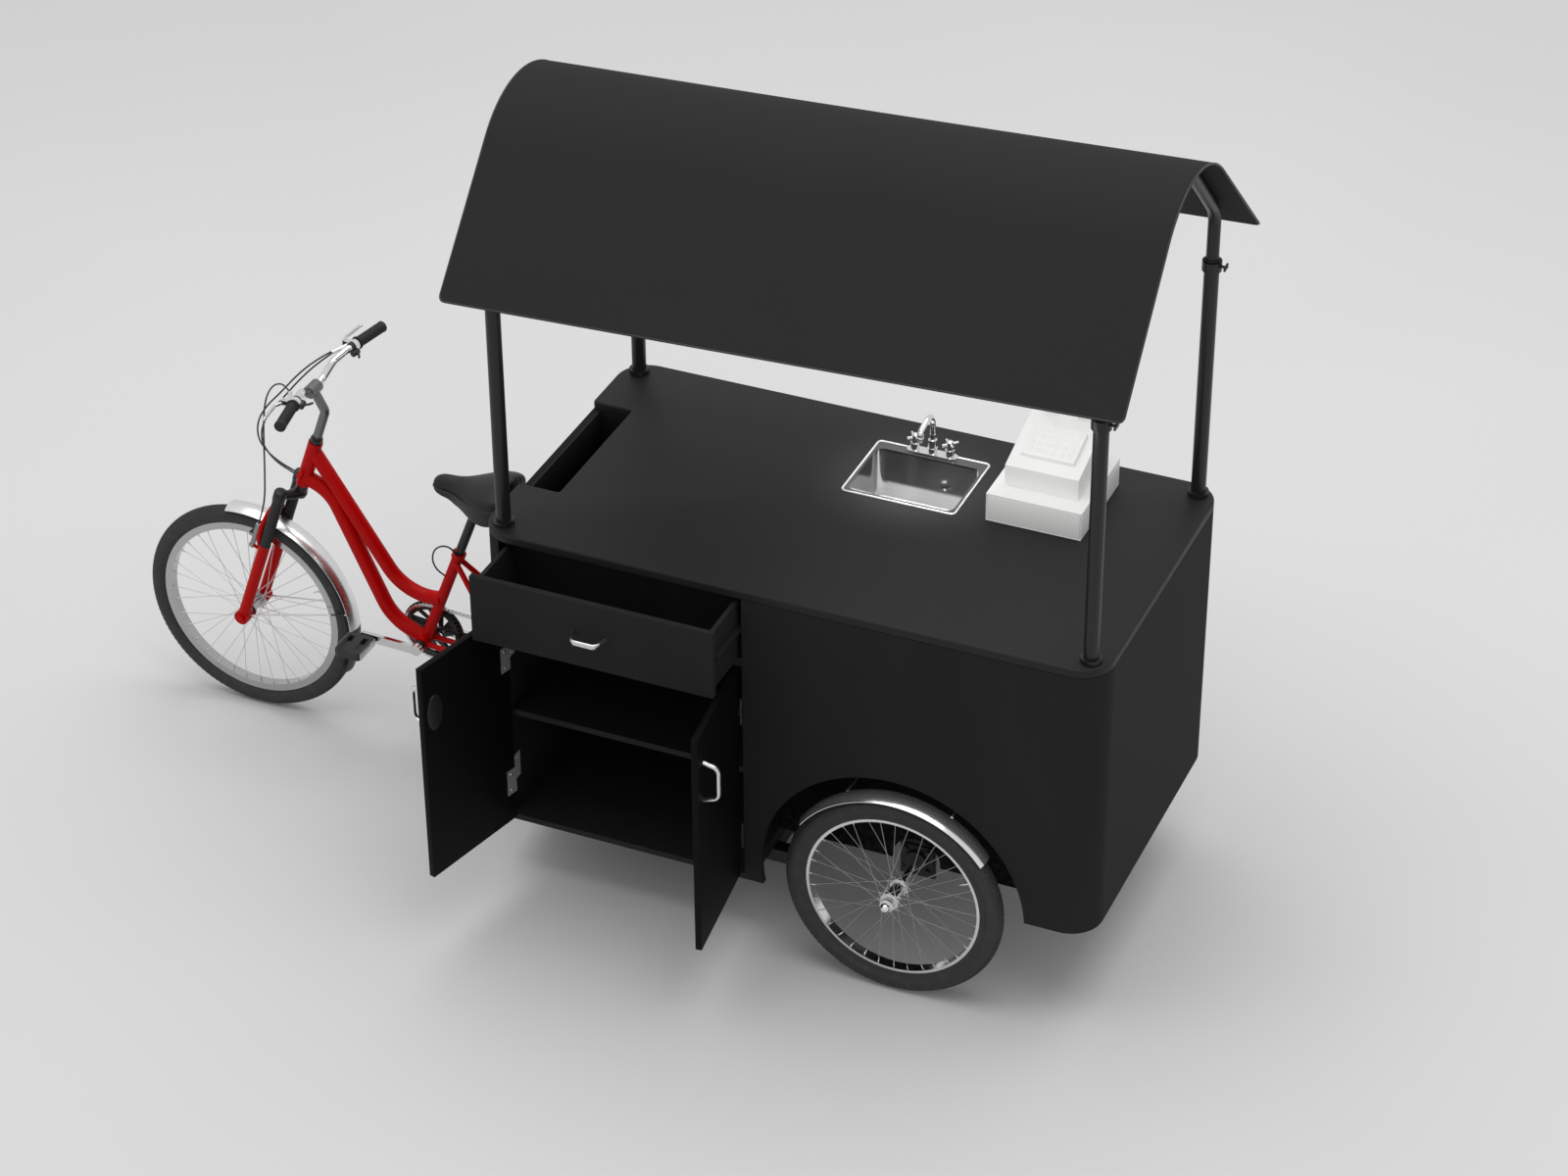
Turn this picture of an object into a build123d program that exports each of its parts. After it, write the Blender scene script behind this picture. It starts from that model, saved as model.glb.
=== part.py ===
"""A juice cart: a black cabinet with a canopy, carried and pushed by a tricycle.

X runs from the bicycle's front wheel to the rear of the cabinet, Z is up, and the cupboard side faces -Y.
Until the last step, X is counted from the cabinet's front face and Y from its centre plane, in millimetres.
"""
from build123d import *
from math import acos, atan2, cos, degrees, hypot, pi, radians, sin, tan
import os

# Clearances
running = 0.05          # radial, for shafts, pins and slides
clear = 0.3             # between pieces that move past each other
fixed_fit = 0.02        # radial, between round pieces that stay together

# Cabinet
cart_length = 1740.0
cart_width = 950.0
counter_height = 1135.0
counter_thickness = 25.0
corner_radius = 90.0
panel = 18.0
front_bottom = 205.0
rear_bottom = 300.0
front_section = 775.0
rear_floor_lift = 187.0     # rear floor above the front floor, over the chain
door_seat_gap = 3.0         # the boards stop this far behind the closed doors
cupboard_depth = 465.0
shelf_height = 330.0        # shelf above the floor's lower face

# Open bin at the bicycle end
bin_length = 120.0
bin_width = 454.0
bin_depth = 235.0
bin_wall = 6.0

# Drawer
opening_left = 58.0
front_gap = 3.0
drawer_height = 200.0
drawer_depth = 216.0
drawer_side = 12.0
drawer_base = 6.0
drawer_pull = 170.0         # how far it stands open
runner_height = 12.0
runner_width = 13.0

# Doors
hinge_gap = 6.0
hinge_heights = (150.0, 555.0)  # hinge centres above the cabinet's lower edge
hinge_length = 80.0
hinge_leaf = 2.0
hinge_barrel_radius = 4.0
hinge_pin_radius = 2.0
hinge_stand_off = 5.0       # pin axis in front of the door face
left_door_angle = 104.0
right_door_angle = 96.5
handle_length = 118.0
handle_reach = 40.0
handle_band = 8.0           # half width of the band
handle_thickness = 6.0      # half thickness
handle_inset = 44.0         # from a door's free edge
handle_height = 521.0       # above the door's lower edge

# Sink and tap
sink_x = 968.0
sink_y = 207.0
sink_length = 325.0
sink_width = 273.0
sink_rim = 12.0
sink_ledge = 36.0
sink_depth = 150.0
sink_sheet = 2.0
sink_corner = 24.0
tap_spacing = 50.0
tap_height = 146.0
tap_reach = 92.0
tap_pipe = 8.0
drain_radius = 20.0
supply_radius = 8.0
tank_length = 290.0
tank_width = 250.0
tank_height = 350.0

# Till
till_x = 1346.0
till_front = 83.0
till_width = 266.0
till_depth = 300.0
till_case = 84.0
till_wall = 4.0
till_gap = 0.6
keyboard_width = 205.0
keyboard_set_back = 56.0
keyboard_front = 63.0
keyboard_back = 121.0
keyboard_depth = 227.0
display_width = 144.0
display_height = 43.0

# Canopy
canopy_overhang_front = 50.0
canopy_overhang_rear = 30.0
canopy_side_overhang = 55.0
canopy_eave = 742.0         # eave above the counter, half way along
canopy_rise = 398.0         # ridge above the eave
canopy_ridge_radius = 300.0
canopy_pitch = 2.15         # degrees, the bicycle end is the lower one
canopy_sheet_thickness = 4.0
post_radius = 20.0
post_wall = 2.5
post_inset_x = 52.0
post_inset_y = 55.0
post_height = 715.0
hoop_radius = 17.0
hoop_bend = 90.0
hoop_overlap = 60.0
collar_height = 14.0

# Chassis and rear axle
rail = 40.0
rear_rail = 30.0            # height of the raised rails over the axle
rail_y = 305.0
rear_axle_x = 1200.0
axle_radius = 10.0
bearing_plate = 8.0
arch_radius = 375.0
arch_lead = 20.0            # arch centre ahead of the axle
arch_drop = 32.5            # arch centre below the axle
well_depth = 130.0
well_wall = 6.0
hitch_x = -30.0
hitch_z = 330.0
hitch_radius = 6.0
hitch_half_gap = 80.0

# Wheels
rear_tyre_radius = 307.5
front_tyre_radius = 333.5
tyre_section = 54.0
rim_width = 30.0
rim_height = 21.5
wheel_stand_out = 26.0      # rear wheel's mid-plane outside the side panel
spoke_count = 36
spoke_radius = 1.0
rear_hub_half = 45.0
front_hub_half = 40.0
front_axle_radius = 5.0
guard_width = 62.0
guard_sheet = 1.6
guard_drop = 9.0
guard_gap = 12.0            # tyre to mudguard crown

# Bicycle front end
head_x = -810.0             # lower end of the head tube
head_z = 803.0
head_tilt = 19.5
head_length = 158.0
head_radius = 21.0
race_radius = 18.0
steerer_radius = 14.3
fork_rake = 35.0
leg_spacing = 58.0
leg_radius = 17.0
stanchion_radius = 14.5
leg_top = 285.0             # sliding leg above the wheel axle
brace_top = 366.0
brace_radius = 7.0
brace_lead = 24.0           # brace ahead of the leg's axis
dropout_radius = 22.0
stanchion_foot = 200.0
bore_foot = 140.0
crown_depth = 45.0
crank_x = -446.0
crank_z = 366.0
seat_top_x = -320.0
seat_top_z = 692.0
upper_tube = 21.0
lower_tube = 22.0
upper_join = 126.0            # up the head tube
lower_join = 26.0
cable_join = 52.0
seat_tube = 16.0
seat_post_radius = 13.6
stay_radius = 8.0
bottom_bracket_radius = 20.0
bottom_bracket_half = 34.0
stem_x = -752.0
stem_z = 1126.0
bar_radius = 11.1
grip_radius = 15.5
grip_length = 112.0
cable_radius = 2.5
ferrule_radius = 6.0
saddle_nose_x = -385.0
saddle_tail_x = -135.0
saddle_base_z = 885.0

# Drive
chain_pitch = 12.7
chainring_teeth = 44
sprocket_teeth = 22
chain_line = 40.0
chain_plate_half = 4.5
chain_plate_in = 2.4
chain_plate_out = 4.0
tooth_half = 1.5
crank_length = 165.0
crank_rise = 2.0           # left crank points forward and this many degrees up
spindle_radius = 9.0
pedal_axle_radius = 7.0
pedal_length = 92.0
pedal_width = 80.0
pedal_thickness = 24.0

# Values that follow from the sizes above
half_width = cart_width / 2
canopy_half_width = half_width + canopy_side_overhang
under_counter = counter_height - counter_thickness
floor_top = front_bottom + panel
opening_right = front_section - panel
inner_face = half_width - panel
board_front = -(inner_face - door_seat_gap)
cupboard_back = -half_width + cupboard_depth
bin_bottom = under_counter - bin_depth
drawer_top = under_counter - front_gap
drawer_bottom = drawer_top - drawer_height
door_top = drawer_bottom - front_gap - 1.0
door_bottom = floor_top + front_gap
door_width = (opening_right - opening_left - 2 * hinge_gap - front_gap) / 2
hinge_y = -half_width - hinge_stand_off
left_hinge_x = opening_left + hinge_gap / 2
right_hinge_x = opening_right - hinge_gap / 2
rear_axle_z = rear_tyre_radius
wheel_y = half_width + wheel_stand_out
well_face = half_width - well_depth
rail_top = front_bottom
rail_bottom = rail_top - rail
rear_floor = front_bottom + rear_floor_lift
ridge_z = counter_height + canopy_eave + canopy_rise
eave_z = counter_height + canopy_eave
post_y = half_width - post_inset_y
chainring_radius = chain_pitch / (2 * sin(pi / chainring_teeth))
sprocket_radius = chain_pitch / (2 * sin(pi / sprocket_teeth))

nodes = {}


def add(name, *shapes):
    """Put the solids of the shapes into the named node."""
    solids = []
    for shape in shapes:
        solids.extend(shape.solids())
    nodes.setdefault(name, []).extend(solids)


def block(x0, x1, y0, y1, z0, z1):
    """A box between two corners."""
    return Pos((x0 + x1) / 2, (y0 + y1) / 2, (z0 + z1) / 2) * Box(x1 - x0, y1 - y0, z1 - z0)


def rod(start, end, radius):
    """A round bar between two points."""
    start = Vector(*start)
    end = Vector(*end)
    return Part() + Solid.make_cylinder(radius, (end - start).length, Plane(start, z_dir=end - start))


def bent_rod(points, radii, radius):
    """A round bar along straight runs joined by tangent arcs."""
    path = FilletPolyline(*points, radius=radii)
    return sweep(Plane(path @ 0, z_dir=path % 0) * Circle(radius), path=path)


def plate_y(outline, y0, y1):
    """An outline drawn in X and Z, thickened between two Y positions."""
    return Pos(0, y1, 0) * extrude(Plane.XZ * outline, amount=y1 - y0)


def plate_x(outline, x0, x1):
    """An outline drawn in Y and Z, thickened between two X positions."""
    return Pos(x0, 0, 0) * extrude(Plane.YZ * outline, amount=x1 - x0)


def turned(outline, x, y, z, start=0.0, arc=360.0):
    """An outline in radius and width, turned about a wheel's axis along Y."""
    ring = revolve(Plane.XZ * outline, Axis.Z, arc)
    return Pos(x, y, z) * Rot(90, 0, 0) * Rot(0, 0, start) * ring


def box_outline(x0, x1, z0, z1):
    """A rectangle between two corners."""
    return Pos((x0 + x1) / 2, (z0 + z1) / 2) * Rectangle(x1 - x0, z1 - z0)


def both_sides(shape):
    """A shape and its mirror image across the centre plane."""
    return [shape, mirror(shape, about=Plane.XZ)]


def make_cabinet():
    """Counter, panels, columns, boards and the open bin."""
    plan = Pos(cart_length / 2, 0) * RectangleRounded(cart_length, cart_width, corner_radius)
    slab = Pos(0, 0, under_counter) * extrude(plan, counter_thickness)
    notch = block(-corner_radius, bin_length, -bin_width / 2, bin_width / 2, under_counter - 1, counter_height + 1)
    bowl_y, bowl_length, bowl_width = sink_bowl()
    hole_x = (sink_x - bowl_length / 2 - 4, sink_x + bowl_length / 2 + 4)
    hole_y = (bowl_y - bowl_width / 2 - 4, bowl_y + bowl_width / 2 + 4)
    tap_hole = Pos(sink_x, tap_y(), counter_height) * Cylinder(supply_radius + 3, 3 * counter_thickness)
    slab = slab - notch - tap_hole
    boards = (
        (0, bin_length, -half_width, half_width),
        (bin_length, hole_x[0], -half_width, half_width),
        (*hole_x, -half_width, hole_y[0]),
        (*hole_x, hole_y[1], half_width),
        (hole_x[1], cart_length, -half_width, half_width),
    )
    for edges in boards:
        add("counter_top", slab & block(*edges, 0, ridge_z))

    arch_x = rear_axle_x - arch_lead
    arch_z = rear_axle_z - arch_drop
    arch = Pos(arch_x, arch_z) * Circle(arch_radius)
    for side, start, name in ((-1, opening_right, "near_side_panel"), (1, corner_radius, "far_side_panel")):
        outline = box_outline(start, cart_length - corner_radius, rear_bottom, under_counter)
        outline += box_outline(start, arch_x, front_bottom, under_counter)
        outline -= arch
        edges = sorted((side * inner_face, side * half_width))
        add(name, plate_y(outline, *edges))

    flat = half_width - corner_radius
    chain_slot = drive_slot(-corner_radius, cart_length / 2)
    add("front_panel", block(0, panel, -flat, flat, front_bottom, under_counter) - chain_slot)
    add("rear_panel", block(cart_length - panel, cart_length, -flat, flat, rear_bottom, under_counter))

    for x, x_side, bottom in ((corner_radius, -1, front_bottom), (cart_length - corner_radius, 1, rear_bottom)):
        for side in (-1, 1):
            height = under_counter - bottom
            ring = Cylinder(corner_radius, height) - Cylinder(corner_radius - panel, height)
            quarter = Pos(x_side * corner_radius, side * corner_radius, 0)
            quarter *= Box(2 * corner_radius, 2 * corner_radius, height)
            column = Pos(x, side * flat, bottom + height / 2) * (ring & quarter)
            if x_side < 0 and side < 0:
                column -= block(opening_left, front_section, -cart_width, 0, 0, counter_height)
            add("corner_columns", column)

    inner_plan = RectangleRounded(cart_length - 2 * panel, cart_width - 2 * panel, corner_radius - panel)
    floor = Pos(cart_length / 2, 0, front_bottom) * extrude(inner_plan, panel)
    floor &= block(0, opening_right, board_front, half_width, 0, counter_height)
    floor += block(opening_left, opening_right, -half_width, board_front, front_bottom, floor_top)
    well_inner = well_face - well_wall
    rear = block(front_section, cart_length - panel, -well_inner, well_inner, rear_floor, rear_floor + panel)
    add("floor_boards", floor, rear)

    wall = block(opening_right, front_section, board_front, inner_face, front_bottom, under_counter) - chain_slot
    back_top = bin_bottom - bin_wall
    back = block(panel, opening_right, cupboard_back - panel, cupboard_back, floor_top, back_top)
    bin_side = bin_width / 2 + bin_wall
    cheek = block(opening_left - panel, opening_left, board_front, cupboard_back - panel, floor_top, under_counter)
    cheek -= block(0, opening_left + 1, -bin_side - clear, 0, bin_bottom - bin_wall - clear, counter_height)
    corner_ring = Circle(corner_radius) - Circle(corner_radius - panel)
    corner_ring &= Pos(0, -corner_radius) * Rectangle(4 * corner_radius, 2 * corner_radius)
    cheek -= Pos(corner_radius, -flat, 0) * extrude(corner_ring, counter_height)
    rail_bar = block(opening_left, opening_right, board_front, board_front + panel, door_top - panel, drawer_bottom + 4)
    shelf_z = front_bottom + shelf_height
    shelf = block(opening_left, opening_right, board_front + 10, cupboard_back - panel, shelf_z, shelf_z + panel)
    add("inner_partitions", wall, back, cheek, rail_bar, shelf)

    outer = block(panel, bin_length + bin_wall, -bin_side, bin_side, bin_bottom - bin_wall, under_counter)
    inner = block(panel + bin_wall, bin_length, -bin_width / 2, bin_width / 2, bin_bottom, counter_height)
    add("front_bin", outer - inner)


def drive_slot(x0, x1):
    """The slot that the chain runs through."""
    return block(x0, x1, chain_line - 12, chain_line + 12, front_bottom + 45, front_bottom + 250)


def make_wheel_wells():
    """Arched boxes behind the wheel openings."""
    arch_x = rear_axle_x - arch_lead
    arch_z = rear_axle_z - arch_drop
    room = arch_radius + 2
    above = box_outline(arch_x - 2 * room, arch_x + 2 * room, rear_bottom, arch_z + 2 * room)
    shell = (Pos(arch_x, arch_z) * Circle(room + well_wall)) & above
    hollow = Pos(arch_x, arch_z) * Circle(room)
    axle_hole = Pos(rear_axle_x, rear_axle_z) * Circle(68)
    inner = well_face - well_wall
    well = plate_y(shell, inner, inner_face) - plate_y(hollow, well_face, half_width)
    well -= plate_y(axle_hole, inner - 1, well_face + 1)
    add("wheel_wells", *both_sides(well))


def bow_handle():
    """A bow handle along Z that stands out towards -Y from a face at Y 0."""
    half = handle_length / 2
    rise = half - 12
    points = [(0, 0, -half), (0, -handle_reach, -rise), (0, -handle_reach, rise), (0, 0, half)]
    path = FilletPolyline(*points, radius=[20.0, 20.0])
    section = Plane(path @ 0, x_dir=(1, 0, 0), z_dir=path % 0) * Ellipse(handle_band, handle_thickness)
    bow = sweep(section, path=path)
    bow &= block(-40, 40, -80, 0, -handle_length, handle_length)
    return bow


def make_drawer():
    """Drawer front, box, handle and the fixed runners, with the drawer pulled out."""
    pull = Pos(0, -drawer_pull, 0)
    left = opening_left + front_gap
    right = opening_right - front_gap - 1
    front = block(left, right, -half_width, -inner_face, drawer_bottom, drawer_top)
    add("drawer_front", pull * front)

    box_left = opening_left + runner_width + 2
    box_right = opening_right - runner_width - 2
    box_z0 = drawer_bottom + 11
    box_z1 = drawer_top - 15
    box_back = -inner_face + drawer_depth
    outer = block(box_left, box_right, -inner_face, box_back, box_z0, box_z1)
    inner = block(box_left + drawer_side, box_right - drawer_side, -half_width, box_back - drawer_side,
                  box_z0 + drawer_base, counter_height)
    strip_z = box_z0 + 90
    strips = []
    for x0, x1 in ((opening_left + 2, box_left), (box_right, opening_right - 2)):
        strips.append(block(x0, x1, -inner_face + 10, box_back, strip_z, strip_z + runner_height))
    add("drawer_box", pull * (outer - inner + strips))

    for x0, x1 in ((opening_left, opening_left + runner_width), (opening_right - runner_width, opening_right)):
        add("drawer_runners", block(x0, x1, board_front + 4, box_back, strip_z - clear - runner_height, strip_z - clear))

    middle = (opening_left + opening_right) / 2
    face_z = (drawer_bottom + drawer_top) / 2 + 5
    add("drawer_handle", pull * Pos(middle, -half_width, face_z) * Rot(0, 90, 0) * bow_handle())


def swing(shape, hinge_x, angle):
    """Turn a closed door's piece about its hinge pin."""
    return Pos(hinge_x, hinge_y, 0) * Rot(0, 0, angle) * Pos(-hinge_x, -hinge_y, 0) * shape


def hinge(hinge_x, side, z):
    """A door leaf and a fixed plate with its pin; side is +1 where the door lies towards +X."""
    third = hinge_length / 3
    barrel_z = (-third / 2 + clear / 2, third / 2 - clear / 2)
    bore = hinge_pin_radius + running
    edge_x = hinge_x + side * (hinge_gap / 2 - hinge_leaf)
    door_x = hinge_x + side * hinge_gap / 2
    back_y = -inner_face
    low = z + barrel_z[0]
    high = z + barrel_z[1]
    xs = sorted((edge_x, door_x))
    wrap = block(*xs, hinge_y, back_y + hinge_leaf, low, high)
    face = sorted((edge_x, door_x + side * 34))
    leaf = wrap + block(*face, back_y, back_y + hinge_leaf, z - hinge_length / 2, z + hinge_length / 2)
    leaf += rod((hinge_x, hinge_y, low), (hinge_x, hinge_y, high), hinge_barrel_radius)
    leaf -= rod((hinge_x, hinge_y, z - hinge_length), (hinge_x, hinge_y, z + hinge_length), bore)
    wall_x = hinge_x - side * hinge_gap / 2
    xs = sorted((wall_x, wall_x + side * hinge_leaf))
    plate = block(*xs, board_front + 2, board_front + 40, z - hinge_length / 2, z + hinge_length / 2)
    for z0, z1 in ((-hinge_length / 2, -third / 2 - clear / 2), (third / 2 + clear / 2, hinge_length / 2)):
        plate += block(*xs, hinge_y, board_front + 4, z + z0, z + z1)
        plate += rod((hinge_x, hinge_y, z + z0), (hinge_x, hinge_y, z + z1), hinge_barrel_radius)
    bottom = z - hinge_length / 2
    plate += rod((hinge_x, hinge_y, bottom), (hinge_x, hinge_y, bottom + hinge_length), hinge_pin_radius)
    return leaf, plate


def make_doors():
    """Two doors with their handles and hinges, standing open."""
    left_edge = opening_left + hinge_gap
    right_edge = opening_right - hinge_gap
    doors = (
        ("left", left_hinge_x, 1, left_edge, left_edge + door_width, -left_door_angle),
        ("right", right_hinge_x, -1, right_edge - door_width, right_edge, right_door_angle),
    )
    for name, hinge_x, side, x0, x1, angle in doors:
        door = block(x0, x1, -half_width, -inner_face, door_bottom, door_top)
        add(name + "_door", swing(door, hinge_x, angle))
        free_edge = x1 if side > 0 else x0
        handle = Pos(free_edge - side * handle_inset, -half_width, door_bottom + handle_height) * bow_handle()
        plate_place = Pos(free_edge - side * handle_inset, -inner_face, door_bottom + handle_height)
        back_plate = plate_place * Rot(90, 0, 0) * extrude(Ellipse(17, 40), amount=-1.5)
        add(name + "_door_hardware", swing(handle, hinge_x, angle), swing(back_plate, hinge_x, angle))
        for height in hinge_heights:
            leaf, plate = hinge(hinge_x, side, front_bottom + height)
            add(name + "_door_hardware", swing(leaf, hinge_x, angle))
            add("hinge_plates", plate)


def sink_bowl():
    """The bowl's centre in Y, its length and its width."""
    near = sink_y - sink_width / 2 + sink_rim
    far = sink_y + sink_width / 2 - sink_ledge
    return (near + far) / 2, sink_length - 2 * sink_rim, far - near


def tap_y():
    """The tap stands in the middle of the sink's ledge."""
    return sink_y + sink_width / 2 - sink_ledge / 2


def make_sink():
    """Basin, tap and the water tanks under the counter."""
    bowl_y, bowl_length, bowl_width = sink_bowl()
    rim = Pos(sink_x, sink_y, counter_height) * extrude(RectangleRounded(sink_length, sink_width, 14), sink_sheet)
    outside = RectangleRounded(bowl_length + 2 * sink_sheet, bowl_width + 2 * sink_sheet, sink_corner + sink_sheet)
    inside = RectangleRounded(bowl_length, bowl_width, sink_corner)
    floor_z = counter_height - sink_depth
    basin = rim + Pos(sink_x, bowl_y, floor_z - sink_sheet) * extrude(outside, sink_depth + sink_sheet)
    basin -= Pos(sink_x, bowl_y, floor_z) * extrude(inside, sink_depth + 3 * sink_sheet)
    basin -= Pos(sink_x, bowl_y, floor_z) * Cylinder(drain_radius, 4 * sink_sheet)
    add("sink_basin", basin)

    tank_top = rear_floor + panel + tank_height
    tank_y = sink_y + 5
    lip = floor_z - sink_sheet
    drain = rod((sink_x, bowl_y, lip - 12), (sink_x, bowl_y, lip), drain_radius + 12)
    drain += rod((sink_x, bowl_y, tank_top), (sink_x, bowl_y, lip), drain_radius)
    drain -= rod((sink_x, bowl_y, lip - 40), (sink_x, bowl_y, lip + 5), drain_radius - 3)
    fresh_x = sink_x + tank_length + 20
    for x in (sink_x, fresh_x):
        tank = block(x - tank_length / 2, x + tank_length / 2, tank_y - tank_width / 2, tank_y + tank_width / 2,
                     rear_floor + panel, tank_top)
        add("water_system", fillet(tank.edges().filter_by(Axis.Z), 25))
    bend_z = floor_z - 60
    supply_x = fresh_x - 60
    points = [(supply_x, tap_y(), tank_top), (supply_x, tap_y(), bend_z), (sink_x, tap_y(), bend_z),
              (sink_x, tap_y(), counter_height)]
    add("water_system", drain, bent_rod(points, [40.0, 40.0], supply_radius))

    top = counter_height + sink_sheet
    y = tap_y()
    body = Pos(sink_x, y, top) * extrude(SlotOverall(2 * tap_spacing + 46, 32), 10)
    for x in (-tap_spacing, tap_spacing):
        body += rod((sink_x + x, y, top), (sink_x + x, y, top + 30), 13)
        body += rod((sink_x + x, y, top + 30), (sink_x + x, y, top + 48), 5)
    body += rod((sink_x, y, top), (sink_x, y, top + 26), 14)
    body += rod((sink_x, y, top + 26), (sink_x, y, top + 40), 6)
    add("faucet_body", body)

    foot = top + 26 + clear
    spout_top = top + tap_height
    points = [(sink_x, y, foot + 14), (sink_x, y, spout_top), (sink_x, y - tap_reach, spout_top - 22),
              (sink_x, y - tap_reach, spout_top - 48)]
    spout = bent_rod(points, [38.0, 14.0], tap_pipe) + rod((sink_x, y, foot), (sink_x, y, foot + 24), 12)
    spout -= rod((sink_x, y, foot - 1), (sink_x, y, foot + 14 + clear), 6 + running)
    add("faucet_spout", spout)

    for name, x in (("tap_handle_left", -tap_spacing), ("tap_handle_right", tap_spacing)):
        base = top + 30 + clear
        knob = rod((sink_x + x, y, base), (sink_x + x, y, base + 24), 10)
        for step in range(4):
            angle = radians(45 + 90 * step)
            tip = (sink_x + x + 24 * cos(angle), y + 24 * sin(angle), base + 17)
            knob += rod((sink_x + x, y, base + 17), tip, 4)
        knob -= rod((sink_x + x, y, base - 1), (sink_x + x, y, top + 48 + clear), 5 + running)
        add(name, knob)


def make_till():
    """Till case, cash drawer and the keyboard housing with its display."""
    x0 = till_x - till_width / 2
    x1 = till_x + till_width / 2
    y1 = till_front + till_depth
    top = counter_height + till_case
    case = block(x0, x1, till_front, y1, counter_height, top)
    room = block(x0 + till_wall, x1 - till_wall, till_front - 1, y1 - till_wall, counter_height + till_wall, top - till_wall)
    add("till_case", case - room)

    left = x0 + till_wall + till_gap
    right = x1 - till_wall - till_gap
    low = counter_height + till_wall + till_gap
    high = top - till_wall - till_gap
    tray_back = y1 - till_wall - 8
    tray = block(left, right, till_front, tray_back, low, high - 20)
    tray -= block(left + 4, right - 4, till_front + 6, tray_back - 4, low + 4, high)
    add("cash_drawer", tray + block(left, right, till_front, till_front + 6, low, high))

    front = till_front + keyboard_set_back
    back = front + keyboard_depth
    outline = make_face(Polyline((front, top), (front, top + keyboard_front), (back - 34, top + keyboard_back),
                                 (back, top + keyboard_back), (back, top), close=True))
    body = plate_x(outline, till_x - keyboard_width / 2, till_x + keyboard_width / 2)
    neck_top = top + keyboard_back + 22
    body += block(till_x - 28, till_x + 28, back - 30, back - 6, top + keyboard_back - 1, neck_top + 4)
    head = Box(display_width, 30, display_height)
    body += Pos(till_x, back - 20, neck_top + display_height / 2) * Rot(-12, 0, 0) * head
    add("till_keyboard", body)


def canopy_profile(inset):
    """The canopy's outline in Y and Z, moved inwards by inset: eave point, tangent point and ridge."""
    centre = ridge_z - canopy_ridge_radius
    reach = hypot(canopy_half_width, eave_z - centre)
    slope = atan2(eave_z - centre, canopy_half_width) + acos(canopy_ridge_radius / reach)
    radius = canopy_ridge_radius - inset
    eave = (canopy_half_width - inset * cos(slope), eave_z - inset * sin(slope))
    tangent = (radius * cos(slope), centre + radius * sin(slope))
    return eave, tangent, (0, centre + radius), slope


def make_canopy():
    """The curved sheet, its posts, hoops, collars and wing screws."""
    eave, tangent, ridge, slope = canopy_profile(0)
    eave_in, tangent_in, ridge_in, slope = canopy_profile(canopy_sheet_thickness)
    edges = [
        Line(eave, tangent),
        ThreePointArc(tangent, ridge, (-tangent[0], tangent[1])),
        Line((-tangent[0], tangent[1]), (-eave[0], eave[1])),
        Line((-eave[0], eave[1]), (-eave_in[0], eave_in[1])),
        Line((-eave_in[0], eave_in[1]), (-tangent_in[0], tangent_in[1])),
        ThreePointArc((-tangent_in[0], tangent_in[1]), ridge_in, tangent_in),
        Line(tangent_in, eave_in),
        Line(eave_in, eave),
    ]
    sheet = plate_x(make_face(edges), -canopy_overhang_front, cart_length + canopy_overhang_rear)
    middle_x = cart_length / 2
    middle_z = (eave_z + ridge_z) / 2
    lean = Pos(middle_x, 0, middle_z) * Rot(0, -canopy_pitch, 0) * Pos(-middle_x, 0, -middle_z)
    add("canopy_sheet", lean * sheet)

    depth = canopy_sheet_thickness + clear + hoop_radius
    hoop_eave, hoop_tangent, hoop_ridge, slope = canopy_profile(depth)
    steep = tan(pi / 2 - slope)
    post_top = counter_height + post_height
    foot_z = post_top - hoop_overlap
    for x in (post_inset_x, cart_length - post_inset_x):
        lift = (x - middle_x) * tan(radians(canopy_pitch))
        corner_z = hoop_tangent[1] + (hoop_tangent[0] - post_y) * steep + lift
        apex_z = hoop_tangent[1] + hoop_tangent[0] * steep + lift
        points = [(x, -post_y, foot_z), (x, -post_y, corner_z), (x, 0, apex_z), (x, post_y, corner_z), (x, post_y, foot_z)]
        radii = [hoop_bend, canopy_ridge_radius - depth, hoop_bend]
        add("canopy_hoops", bent_rod(points, radii, hoop_radius))
        for side in (-1, 1):
            y = side * post_y
            post = rod((x, y, counter_height), (x, y, post_top), post_radius)
            post -= rod((x, y, counter_height - 1), (x, y, post_top + 1), post_radius - post_wall)
            add("canopy_posts", post)
            fit = post_radius + fixed_fit
            for z, height, radius in ((counter_height, collar_height, 8), (post_top - 34, 28, 6)):
                collar = rod((x, y, z), (x, y, z + height), post_radius + radius)
                collar -= rod((x, y, z - 1), (x, y, z + height + 1), fit)
                if z > counter_height:
                    screw_x = x + post_radius + radius - 1
                    collar += rod((screw_x, y, z + 14), (screw_x + 16, y, z + 14), 4)
                    collar += block(screw_x + 10, screw_x + 15, y - 14, y + 14, z + 8, z + 20)
                add("canopy_hardware", collar)


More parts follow.
